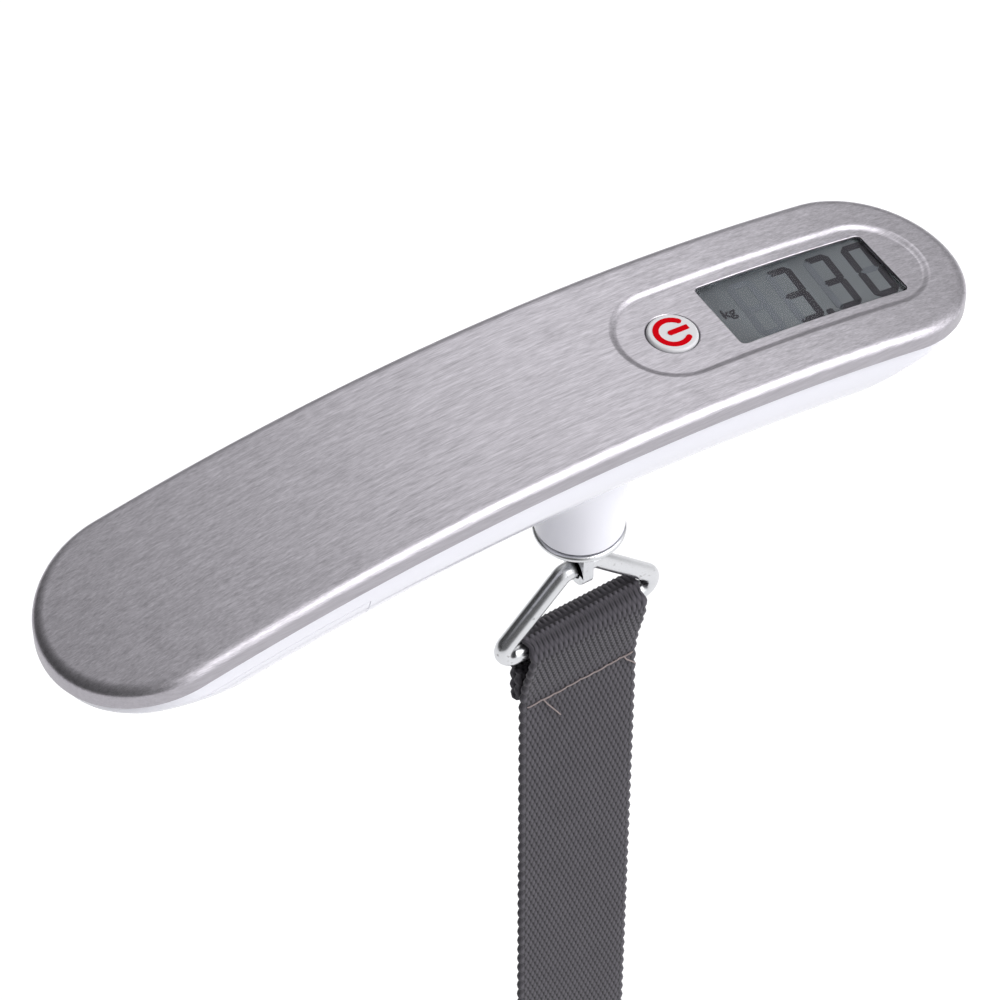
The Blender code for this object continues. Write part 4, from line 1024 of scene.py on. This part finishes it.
def makeButton():
    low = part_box("power_button")[0]
    x = cover["buttonPlace"]
    tilt = onArch(x)
    stemEnd = tilt.inverted() @ Vector((x, 0, low.z))
    radius, top, edge = button["radius"], -button["top"], button["edge"]
    profile = [(0, top - button["dish"])]
    for i in range(1, 7):
        across = (radius - edge) * i / 6
        profile.append((across, top - button["dish"] * (1 - (i / 6) ** 2)))
    for across, height in arcPoints((radius - edge, top - edge), edge, pi / 2, 0, 8)[1:]:
        profile.append((across, height))
    profile += [
        (radius, -button["flangeTop"]), (button["flange"], -button["flangeTop"]),
        (button["flange"], -button["flangeBottom"]), (button["stem"], -button["flangeBottom"]),
        (button["stem"], stemEnd.z), (0, stemEnd.z)]
    cap = turned(profile, (0, 0, 0))
    smooth(cap, 40)
    cap.data.transform(tilt)
    handOver(cap, "powerButton", "button", "button_plastic", "power_button")

    # the sign: an open ring, and a bar through its gap
    stroke = button["signStroke"]
    lowest = top - button["dish"] - 0.1 * mm
    highest = top + button["proud"]
    start, finish = (radians(side) for side in button["signGap"])
    bpy.ops.mesh.primitive_plane_add(size=1, rotation=(pi / 2, 0, 0))
    ring = bpy.context.object
    ring.scale = (stroke, highest - lowest, 1)
    ring.location = (button["signRadius"], 0, (lowest + highest) / 2)
    settle(ring)
    ring.data.transform(Matrix.Rotation(start, 4, "Z"))
    openPiece(ring, "FACE")
    selectAll()
    bpy.ops.mesh.spin(steps=56, angle=-(tau - start - finish), center=(0, 0, 0), axis=(0, 0, 1))
    closePiece()
    reach = button["signRadius"]
    ends = [(cos(side) * reach, sin(side) * reach) for side in (start, -finish)]
    tidyMesh(ring)
    knobs = [rod(stroke / 2, lowest, highest, px, py, 24) for px, py in ends]
    for knob in knobs:
        carve(ring, knob, "UNION")
    high = (button["barTo"] - stroke / 2, stroke / 2, highest)
    length = slab((button["barFrom"], -stroke / 2, lowest), high)
    for px in (button["barFrom"], button["barTo"] - stroke / 2):
        carve(length, rod(stroke / 2, lowest, highest, px, 0, 24), "UNION")
    sign = joinAll([ring, length])
    smooth(sign, 40)
    sign.data.transform(tilt)
    handOver(sign, "standbySign", "button", "button_plastic", finish=signRed)


makeButton()
print("button turned")


# Neck disc, pull stem and ring

stem = {
    "rod": 2.0 * mm,
    "radius": 3.4 * mm,
    "tongueWidth": 5.6 * mm,
    "tongue": 1.8 * mm,
    "eye": 1.75 * mm,
    "eyeLevel": -43.3 * mm,
    "shoulder": -13.0 * mm,
    "end": -36.1 * mm,
    "discTrim": 0.15 * mm,
    "discGap": 0.3 * mm,
}
ring = {
    "wire": 1.45 * mm,
    "bar": -56.6 * mm,
    "halfWidth": 14.85 * mm,
    "corner": 2.0 * mm,
    "apex": 2.8 * mm,
    "apexBend": 1.7 * mm,
    "endGap": 0.25 * mm,
    "straightens": 26 * mm,
    "yaw": 2.0,                 # degrees that the ring hangs turned about its stem
}


def swung(place):
    # the ring and the strap's loop hang slightly turned, and the strap straightens lower down
    x, y, z = place
    fall = min(max((ring["bar"] - z) / ring["straightens"], 0), 1)
    turn = radians(ring["yaw"]) * (1 - fall) ** 2
    x -= neckPlace
    return (neckPlace + x * cos(turn) - y * sin(turn), x * sin(turn) + y * cos(turn), z)


def makeNeckDisc():
    outside = (discHigh.x - discLow.x) / 2 - stem["discTrim"]
    top, bottom = discHigh.z, discLow.z
    bore = stem["radius"] + stem["discGap"]
    edge = (top - bottom) / 2
    profile = [(bore, top)]
    profile += arcPoints((outside - edge, (top + bottom) / 2), edge, pi / 2, -pi / 2, 14)
    profile += [(bore, bottom), (bore, top)]
    made = turned(profile, (neckPlace, 0, 0), 96)
    smooth(made, 40)
    handOver(made, "neckDisc", "handle", "chrome", "neck_disc")


def makeStem():
    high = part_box("pull_stem")[1]
    edge = 0.4 * mm
    profile = [
        (0, high.z), (stem["rod"] - edge, high.z), (stem["rod"], high.z - edge),
        (stem["rod"], stem["shoulder"]), (stem["radius"], stem["shoulder"]),
        (stem["radius"], stem["end"] + edge), (stem["radius"] - edge, stem["end"]), (0, stem["end"])]
    made = turned(profile, (neckPlace, 0, 0), 48)
    # the tongue: a flat bar with a round end and an eye
    half = stem["tongueWidth"] / 2
    side = stem["tongue"] / 2
    low = (neckPlace - side, -half, stem["eyeLevel"])
    tongue = slab(low, (neckPlace + side, half, stem["end"] + edge))
    across = Matrix.Translation((neckPlace, 0, stem["eyeLevel"])) @ Matrix.Rotation(pi / 2, 4, "Y")
    end = rod(half, -side, side, 0, 0, 64)
    end.data.transform(across)
    carve(tongue, end, "UNION")
    hole = rod(stem["eye"], -2 * side, 2 * side, 0, 0, 48)
    hole.data.transform(across)
    carve(tongue, hole)
    applyModifier(tongue, "BEVEL", width=0.22 * mm, segments=3, limit_method="ANGLE",
                  angle_limit=radians(50))
    carve(made, tongue, "UNION")
    smooth(made, 40)
    handOver(made, "pullStem", "handle", "zinc_steel", "pull_stem")


def makeRing():
    centre = Vector((ring["halfWidth"] - ring["wire"] - ring["corner"], ring["bar"] + ring["corner"]))
    apex = Vector((ring["apex"], stem["eyeLevel"]))
    aim = centre - apex
    slope = atan2(aim.y, aim.x) + asin(ring["corner"] / aim.length)
    corner = arcPoints(centre, ring["corner"], slope + pi / 2, -pi / 2, 16)
    turns = [(ring["endGap"], stem["eyeLevel"], 0), (*apex, 0), (*corner[0], 0)]
    bend = roundedPath(turns, ring["apexBend"])
    half = [(place.x, place.y) for place in bend[:-1]] + corner
    path = half + [(-x, z) for x, z in reversed(half)]
    made = wire([swung((neckPlace + x, 0, z)) for x, z in path], ring["wire"], 8)
    smooth(made, 50)
    handOver(made, "triangleRing", "ring", "chrome", "triangle_ring")


makeNeckDisc()
makeStem()
makeRing()
print("stem and ring made")


# Strap: one length of webbing, hemmed and sewn round the ring and the hook

strap = {
    "yarns": 45,                # lengthwise yarns, side by side
    "yarnPitch": 0.446 * mm,
    "rowPitch": 1.295 * mm,     # of the crosswise yarns
    "thickness": 1.05 * mm,     # under the rounding of the yarns
    "relief": 0.20 * mm,
    "scallop": 0.24 * mm,
    "layer": 0.7 * mm,          # half of one layer with its air
    "backLayer": 2.6 * mm,      # how far behind the front layer the hem's cover lies
    "aside": 0.37 * mm,
    "looseTo": 10.0,            # the last row of the looser weave
    "sewn": 12.9 * mm,          # from a bar to its line of stitches
    "hem": 7.0 * mm,
    "close": 8.0 * mm,          # from a bar to where the layers meet
    "ringHole": 1.95 * mm,
    "hookBar": -238.6 * mm,
    "hookHole": 2.861 * mm,
    # rows stretched over the ring's bar: row, and how far it is from the loop's top
    "fold": ((-1.0, -1.15 * mm), (-0.5, 0.0), (0.0, 0.38 * mm), (0.5, 0.77 * mm),
             (1.0, 1.80 * mm), (1.5, 2.74 * mm), (2.0, 3.39 * mm)),
}
thread = {
    "radius": 0.13 * mm,
    "stitch": 2.3 * mm,
    "drop": 1.1 * mm,           # how much lower the line of stitches starts
}
strapWidth = strap["yarns"] * strap["yarnPitch"]


def loopPath(level, hole, way):
    # (y, z) points of one sewn end, from the hem's raw edge to where the layers are one
    layer, sewn, close = strap["layer"], strap["sewn"], strap["close"]
    radius = hole + layer
    back = strap["backLayer"]
    points = [(2 * layer, strap["hem"] - sewn), (2 * layer, 0.3 * mm - sewn)]
    turnRadius = back / 2 - layer
    points += arcPoints((back - turnRadius, -sewn - 0.1 * mm), turnRadius, pi, tau, 6)
    points += [(back, 2 * mm - sewn), ((back + radius) / 2, -close / 2)]
    points += arcPoints((0, 0), radius, 0, pi, 14)
    points += [(-0.70 * radius, -close / 2), (-0.30 * radius, -close), (-0.06 * radius, 1.5 * mm - sewn)]
    points += [(0, -sewn), (0, -sewn - 7 * mm)]
    return [(y, level + way * z) for y, z in points]


def smoothPath(corners):
    # a smooth line through the corners, with the length up to each of its points
    curve = bpy.data.curves.new("path", "CURVE")
    curve.dimensions = "3D"
    curve.resolution_u = 12
    line = curve.splines.new("BEZIER")
    line.bezier_points.add(len(corners) - 1)
    for point, (y, z) in zip(line.bezier_points, corners):
        point.co = (0, y, z)
        point.handle_left_type = point.handle_right_type = "AUTO"
    holder = bpy.data.objects.new("path", curve)
    scene.collection.objects.link(holder)
    hold(holder)
    bpy.ops.object.convert(target="MESH")
    places = [vertex.co.copy() for vertex in bpy.context.object.data.vertices]
    bpy.data.objects.remove(bpy.context.object, do_unlink=True)
    lengths = [0.0]
    for before, after in zip(places, places[1:]):
        lengths.append(lengths[-1] + (after - before).length)
    return places, lengths


def foldPlace(row):
    # how far a row lies from the top of the ring's loop
    fold = strap["fold"]
    if row <= fold[0][0]:
        return fold[0][1] + (row - fold[0][0]) * strap["rowPitch"]
    for (low, start), (high, end) in zip(fold, fold[1:]):
        if row <= high:
            return start + (end - start) * (row - low) / (high - low)
    return fold[-1][1] + (row - fold[-1][0]) * strap["rowPitch"]


def strapRows(top, length):
    # two steps to a row, and more where the weave is opened over the bar
    rows = []
    first, last = strap["fold"][0][0], strap["fold"][-1][0]
    row = first - int(2 * (top + strap["fold"][0][1]) / strap["rowPitch"]) / 2
    while top + foldPlace(row) <= length:
        rows.append(row)
        row += 0.125 if first <= row < last else 0.5
    return rows


def bell(value, middle, spread):
    return 2.0 ** -(((value - middle) / spread) ** 2)


def strapSection():
    # once round the webbing: (yarn, side, turn) with turn over the rounded edges
    half = strap["yarns"] / 2
    steps = 2 * strap["yarns"]
    face = [i / 2 - half for i in range(steps + 1)]
    section = [(-half, 0, -pi / 2)]
    section += [(-half, 0, -pi / 4)] + [(yarn, 1, 0) for yarn in face] + [(half, 0, pi / 4)]
    section += [(half, 0, pi / 2), (half, 0, 3 * pi / 4)] + [(yarn, -1, 0) for yarn in reversed(face)]
    section += [(-half, 0, -3 * pi / 4), (-half, 0, -pi / 2)]
    return section


def weaveHeight(yarn, row):
    # plain weave: each lengthwise yarn swells where it passes over a crosswise one
    across, along = abs((yarn + 1) % 2 - 1), abs((row + 1) % 2 - 1)
    first = across ** weavePower + along ** weavePower
    second = (1 - across) ** weavePower + (1 - along) ** weavePower
    return 1 - min(first, second)


def makeStrap():
    upper = loopPath(ring["bar"], strap["ringHole"], 1)
    lower = loopPath(strap["hookBar"], strap["hookHole"], -1)
    places, lengths = smoothPath(upper + lower[::-1])
    top = lengths[max(range(len(places)), key=lambda i: places[i].z)]
    rows = strapRows(top, lengths[-1])
    section = strapSection()
    columns = len(section) - 1
    bpy.ops.mesh.primitive_grid_add(x_subdivisions=columns, y_subdivisions=len(rows) - 1, size=1)
    band = bpy.context.object
    mesh = band.data
    half = strap["thickness"] / 2
    lines, at = [], 0
    for row in rows:
        want = top + foldPlace(row)
        while at < len(places) - 2 and lengths[at + 1] < want:
            at += 1
        share = (want - lengths[at]) / max(lengths[at + 1] - lengths[at], 1e-9)
        ahead = (places[min(at + 2, len(places) - 1)] - places[max(at - 1, 0)]).normalized()
        lines.append((places[at].lerp(places[at + 1], share), Vector((0, ahead.z, -ahead.y))))
    woven = []
    for vertex in mesh.vertices:
        number = round((vertex.co.y + 0.5) * (len(rows) - 1))
        yarn, side, turn = section[round((vertex.co.x + 0.5) * columns)]
        place, outward = lines[number]
        row = rows[number] + (0 if side > 0 else 1)
        edge = abs(2 * yarn / strap["yarns"]) ** 14
        over = 1.6 * weaveHeight(yarn, row) - 0.9
        # the loop opens the weave: one furrow along the bar's top and a row of holes in front of it, sunk
        # in the mesh and painted darker as painted shade
        openingAndShade = 0.0
        if side > 0:
            holes = bell(row, 0.9, 0.26) * (0.5 - 0.5 * cos(pi * yarn)) ** 1.5
            openingAndShade = max(bell(row, -0.5, 0.24), holes) * (1 - edge)
        swell = 1.8 if side > 0 and -2.5 < row < -0.4 else 1.0
        # between the fold and the stitches the yarns stand further apart, and the gaps between them are
        # painted darker as painted shade
        if side > 0 and strap["fold"][-1][0] < row < strap["looseTo"]:
            openingAndShade = 0.9 * (1 - weaveHeight(yarn, row)) ** 4 * (1 - edge)
            swell = 1.15
        lift = over * (1 - edge) * strap["relief"] * swell - 0.22 * mm * openingAndShade
        bulge = strap["scallop"] * (2 * abs(cos(pi * rows[number] / 2)) - 1) * edge
        if side:
            rise = side * (half + lift)
            across = yarn * strap["yarnPitch"]
        else:
            rise = half * cos(turn)
            across = yarn * strap["yarnPitch"] + half * sin(turn) * 0.8
        across += bulge if yarn > 0 else -bulge
        x, y, z = place + outward * rise
        vertex.co = swung((neckPlace + across, y, z))
        vertex.co.x += strap["aside"]
        woven += [yarn, row, openingAndShade]
    mesh.attributes.new("weave", "FLOAT_VECTOR", "POINT").data.foreach_set("vector", woven)
    mesh.update()
    tidyMesh(band)
    # the raw ends are closed
    openPiece(band, "EDGE")
    bpy.ops.mesh.select_all(action="DESELECT")
    bpy.ops.mesh.select_non_manifold(extend=False)
    bpy.ops.mesh.edge_face_add()
    closePiece()
    hold(band)
    bpy.ops.object.shade_smooth()
    handOver(band, "webbingStrap", "strap", "webbing", "strap")
    print("strap woven, cut length", round(lengths[-1] / mm, 1), "mm,", len(rows), "steps")


def sewnWire(points, radius):
    # thread that follows the strap's turn
    hung = [Vector(swung(point)) + Vector((strap["aside"], 0, 0)) for point in points]
    return wire(hung, radius, 2)


def stitchLine(level, y):
    # a line of stitches across one face of the strap, each pulled in at its ends
    half = strapWidth / 2 - 0.4 * mm
    count = round(2 * half / thread["stitch"])
    out = -1 if y < 0 else 1
    points = []
    for i in range(count * 6 + 1):
        share = i / 6
        lift = sin(pi * (share % 1)) ** 0.5 if share % 1 else 0.0
        x = neckPlace - half + 2 * half * i / (count * 6)
        z = level - thread["drop"] * (1 - i / (count * 6)) + 0.06 * mm * sin(2.1 * share)
        points.append((x, y + out * (0.12 * lift - 0.02) * mm, z))
    return sewnWire(points, thread["radius"])


def threadTail(points):
    return sewnWire(roundedPath(points, 0.6 * mm, 5), thread["radius"] * 0.9)


def makeThreads():
    pieces = []
    face = strap["thickness"] / 2 + 0.8 * strap["relief"]
    front, back = -face, strap["backLayer"] + face
    for level in (ring["bar"] - strap["sewn"], strap["hookBar"] + strap["sewn"]):
        pieces += [stitchLine(level, front), stitchLine(level, back)]
    level = ring["bar"] - strap["sewn"]
    out = front - 0.18 * mm
    x = neckPlace - strapWidth / 2
    pieces.append(threadTail([
        (x + 3.3 * mm, out + 0.2 * mm, level - 0.9 * mm), (x + 3.8 * mm, out - 0.1 * mm, level - 2.0 * mm),
        (x + 5.2 * mm, out - 0.2 * mm, level - 4.4 * mm), (x + 6.4 * mm, out, level - 6.6 * mm)]))
    x = neckPlace + strapWidth / 2
    pieces.append(threadTail([
        (x - 2.1 * mm, out + 0.2 * mm, level), (x - 1.7 * mm, out - 0.1 * mm, level - 0.8 * mm),
        (x - 0.6 * mm, out - 0.15 * mm, level - 2.0 * mm), (x + 0.1 * mm, out, level - 3.0 * mm)]))
    made = joinAll(pieces)
    smooth(made, 60)
    handOver(made, "sewingThread", "strap", "webbing", finish=threadFibre)


makeStrap()
makeThreads()
print("stitches laid")


# Snap hook and its gate

hook = {
    "thickness": 4.0 * mm,
    "slot": 11.2 * mm,
    "eyeHalf": 14.2 * mm,
    "bar": 1.6 * mm,
    "slotBottom": 4.561 * mm,
    "bridge": 9.161 * mm,
    "inside": 7.2 * mm,
    "arm": 4.3 * mm,
    "bowl": 29.661 * mm,
    "nose": 25.661 * mm,
    "seat": 2.0 * mm,
    "ear": 5.2 * mm,
    "edge": 0.8 * mm,
    "pin": 1.1 * mm,
    "gateWire": 0.8 * mm,
    "gateSide": 3.2 * mm,
    "gateEnd": 0.3 * mm,
    "gateBend": 1.2 * mm,
}
hookLevel = strap["hookBar"]
armHalf = hook["arm"] / 2
gatePivot = (hook["inside"] + armHalf, -hook["bridge"] - hook["ear"] + armHalf)


def hookOutline():
    inner, bowlTop, seat = hook["inside"], hook["bowl"], hook["seat"]
    outer = inner + hook["arm"]
    eye, bar_, bridge = hook["eyeHalf"], hook["bar"], hook["bridge"]
    line = arcPoints((eye - bar_, 0), bar_, pi / 2, 0, 8)
    line += [(eye, -hook["slotBottom"]), (outer, -bridge)]
    line += arcPoints(gatePivot, armHalf, 0, -pi, 16)
    line += [(inner, -bridge), (-inner, -bridge)]
    line += arcPoints((-seat, -bowlTop), inner - seat, pi, 1.5 * pi, 14)
    line += arcPoints((seat, -bowlTop), inner - seat, 1.5 * pi, tau, 14)
    line += [(inner, -hook["nose"])]
    line += arcPoints((inner + armHalf, -hook["nose"]), armHalf, pi, 0, 16)[1:]
    line += arcPoints((seat, -bowlTop), outer - seat, 0, -pi / 2, 20)
    line += arcPoints((-seat, -bowlTop), outer - seat, -pi / 2, -pi, 20)
    line += [(-outer, -bridge), (-eye, -hook["slotBottom"])]
    line += arcPoints((bar_ - eye, 0), bar_, pi, pi / 2, 8)
    return line


def makeHook():
    slot, bar_ = hook["slot"], hook["bar"]
    bottom = hook["slotBottom"]
    hole = [(slot, -bar_), (slot, -bottom), (-slot, -bottom), (-slot, -bar_)]
    pin = arcPoints(gatePivot, hook["pin"], 0, tau, 32)[:-1]
    curve = bpy.data.curves.new("outline", "CURVE")
    curve.dimensions = "2D"
    curve.fill_mode = "BOTH"
    curve.extrude = hook["thickness"] / 2
    for outline in (hookOutline(), hole, pin):
        line = curve.splines.new("POLY")
        line.points.add(len(outline) - 1)
        for point, (x, y) in zip(line.points, outline):
            point.co = (x, y, 0, 1)
        line.use_cyclic_u = True
    piece = bpy.data.objects.new("hook", curve)
    scene.collection.objects.link(piece)
    hold(piece)
    bpy.ops.object.convert(target="MESH")
    made = tidyMesh(bpy.context.object)
    applyModifier(made, "BEVEL", width=hook["edge"], segments=5, limit_method="ANGLE",
                  angle_limit=radians(60), use_clamp_overlap=True)
    made.data.transform(Matrix.Translation((neckPlace, 0, hookLevel)) @ Matrix.Rotation(pi / 2, 4, "X"))
    smooth(made, 40)
    handOver(made, "hookBody", "hook", "chrome", "hook_body")


def makeGate():
    side, end = hook["gateSide"], hook["gateEnd"]
    px, pz = neckPlace + gatePivot[0], hookLevel + gatePivot[1]
    low = hookLevel - hook["nose"]
    inside = neckPlace + hook["inside"] - hook["gateWire"] - 0.3 * mm
    corners = [(px, end, pz), (px, side, pz), (inside, side, low)]
    corners += [(x, -y, z) for x, y, z in reversed(corners)]
    made = wire(roundedPath(corners, hook["gateBend"]), hook["gateWire"], 6)
    smooth(made, 50)
    handOver(made, "wireGate", "gate", "chrome", "wire_gate")


makeHook()
makeGate()
print("hook and gate made")


# Inner pieces keep their shape and take their finish from their slot

def finishInnerPieces():
    slots = {part["node"]: part["material_slot"] for part in frame["record"]["subparts"]}
    shown = [name for name, node in frame["nodes"].items() if not node.hide_render]
    for name in shown:
        mesh = frame["nodes"][name].data
        if mesh.materials:
            mesh.materials[0] = finishes[slots[name]]
        else:
            mesh.materials.append(finishes[slots[name]])
    print("inner pieces finished:", len(shown))


finishInnerPieces()


# Floor, light and camera

studio = {
    "floor": -285 * mm,
    "floorSize": 14.0,
    "sheetColour": (0.72, 0.72, 0.73),
    "farColour": (0.50, 0.50, 0.51),
    "sheetMiddle": (0.10, -0.50),
    "sheetReach": (0.80, 4.0),
    "fadeReach": (1.5, 6.3),
    "sheetGlow": 0.42,
    "roomLeft": 0.12,
    "roomRight": 0.70,
    "frontLeft": 0.15,
    "frontRight": 1.70,
    "horizon": 0.45,      # share of that light near the horizon behind
    # directions between which the room's light changes, along X, Z, Y and X
    "sideReach": (-0.6, 0.2),
    "heightReach": (0.08, 0.72),
    "frontReach": (0.1, -0.5),
    "aheadReach": (-0.55, 0.25),
}
lamps = {
    "backSoft": ((0.56, 0.70, 0.86), 0.65, 0.65),
    "frontSoft": ((0.54, -0.50, 0.95), 1.1, 8.0),
}
shot = {
    "place": (-201.0 * mm, -321.3 * mm, 412.3 * mm),
    "target": (-2.629 * mm, 0, -20.18 * mm),
    "lens": 144,
}


def makeFloor():
    bpy.ops.mesh.primitive_plane_add(size=studio["floorSize"], location=(0, 0, studio["floor"]))
    floor = settle(bpy.context.object)
    floor.name = "studioFloor"
    made, tree, shader, place = startFinish("studioFloor", Roughness=0.9, Specular_IOR_Level=0.0)
    # white sheet under the object, greyer further out
    middle = putNode(tree, "ShaderNodeVectorMath", {0: place}, operation="DISTANCE")
    middle.inputs[1].default_value = (*studio["sheetMiddle"], studio["floor"])
    near = softly(tree, middle.outputs["Value"], studio["sheetReach"], 1.0, 0.0)
    tone = blendColours(tree, near, studio["farColour"], studio["sheetColour"])
    tree.links.new(tone, shader.inputs["Base Color"])
    # the far floor fades into the room, so that no edge shows
    fade = softly(tree, middle.outputs["Value"], studio["fadeReach"], 1.0, 0.0)
    tree.links.new(fade, shader.inputs["Alpha"])
    path = putNode(tree, "ShaderNodeLightPath").outputs
    seen = calc(tree, "ADD", path["Is Camera Ray"], path["Is Glossy Ray"])
    seen = calc(tree, "MINIMUM", calc(tree, "ADD", seen, path["Is Transmission Ray"]), 1.0)
    glow = calc(tree, "MULTIPLY", calc(tree, "MULTIPLY", seen, near), studio["sheetGlow"])
    lit = putNode(tree, "ShaderNodeEmission", {"Strength": glow})
    both = putNode(tree, "ShaderNodeAddShader", {0: shader.outputs[0], 1: lit.outputs[0]})
    tree.links.new(both.outputs[0], tree.nodes["Material Output"].inputs["Surface"])
    floor.data.materials.append(made)


def makeWorld():
    # a dim room, brighter to the right, overhead and in front
    world = bpy.data.worlds.new("studioWorld")
    scene.world = world
    world.use_nodes = True
    tree = world.node_tree
    facing = putNode(tree, "ShaderNodeTexCoord").outputs["Generated"]
    parts = putNode(tree, "ShaderNodeSeparateXYZ", {0: facing})
    x, y, z = parts.outputs
    side = softly(tree, x, studio["sideReach"], studio["roomLeft"], studio["roomRight"])
    height = softly(tree, z, studio["heightReach"], studio["horizon"], 1.0)
    front = softly(tree, y, studio["frontReach"])
    behind = calc(tree, "MULTIPLY", side, height)
    ahead = softly(tree, x, studio["aheadReach"], studio["frontLeft"], studio["frontRight"])
    more = calc(tree, "SUBTRACT", ahead, behind)
    strength = calc(tree, "MULTIPLY_ADD", front, more, behind)
    tree.links.new(strength, tree.nodes["Background"].inputs["Strength"])
    tree.nodes["Background"].inputs["Color"].default_value = (0.985, 0.99, 1.0, 1)


def addLamp(name, place, size, power, colour=(1, 1, 1)):
    lamp = bpy.data.lights.new(name, "AREA")
    lamp.shape = "DISK"
    lamp.size = size
    lamp.energy = power
    lamp.color = colour
    holder = bpy.data.objects.new(name, lamp)
    scene.collection.objects.link(holder)
    holder.location = place
    holder.rotation_euler = (-Vector(place)).to_track_quat("-Z", "Y").to_euler()


def makeCamera():
    lens = bpy.data.cameras.new("photoCamera")
    lens.lens = shot["lens"]
    lens.sensor_width = 36
    lens.clip_start = 0.01
    camera = bpy.data.objects.new("photoCamera", lens)
    scene.collection.objects.link(camera)
    camera.location = shot["place"]
    aim = Vector(shot["target"]) - Vector(shot["place"])
    camera.rotation_euler = aim.to_track_quat("-Z", "Y").to_euler()
    scene.camera = camera


makeFloor()
makeWorld()
for lampName, (lampPlace, lampSize, lampPower) in lamps.items():
    addLamp(lampName, lampPlace, lampSize, lampPower)
makeCamera()
scene.view_settings.view_transform = "Standard"
print("studio set")
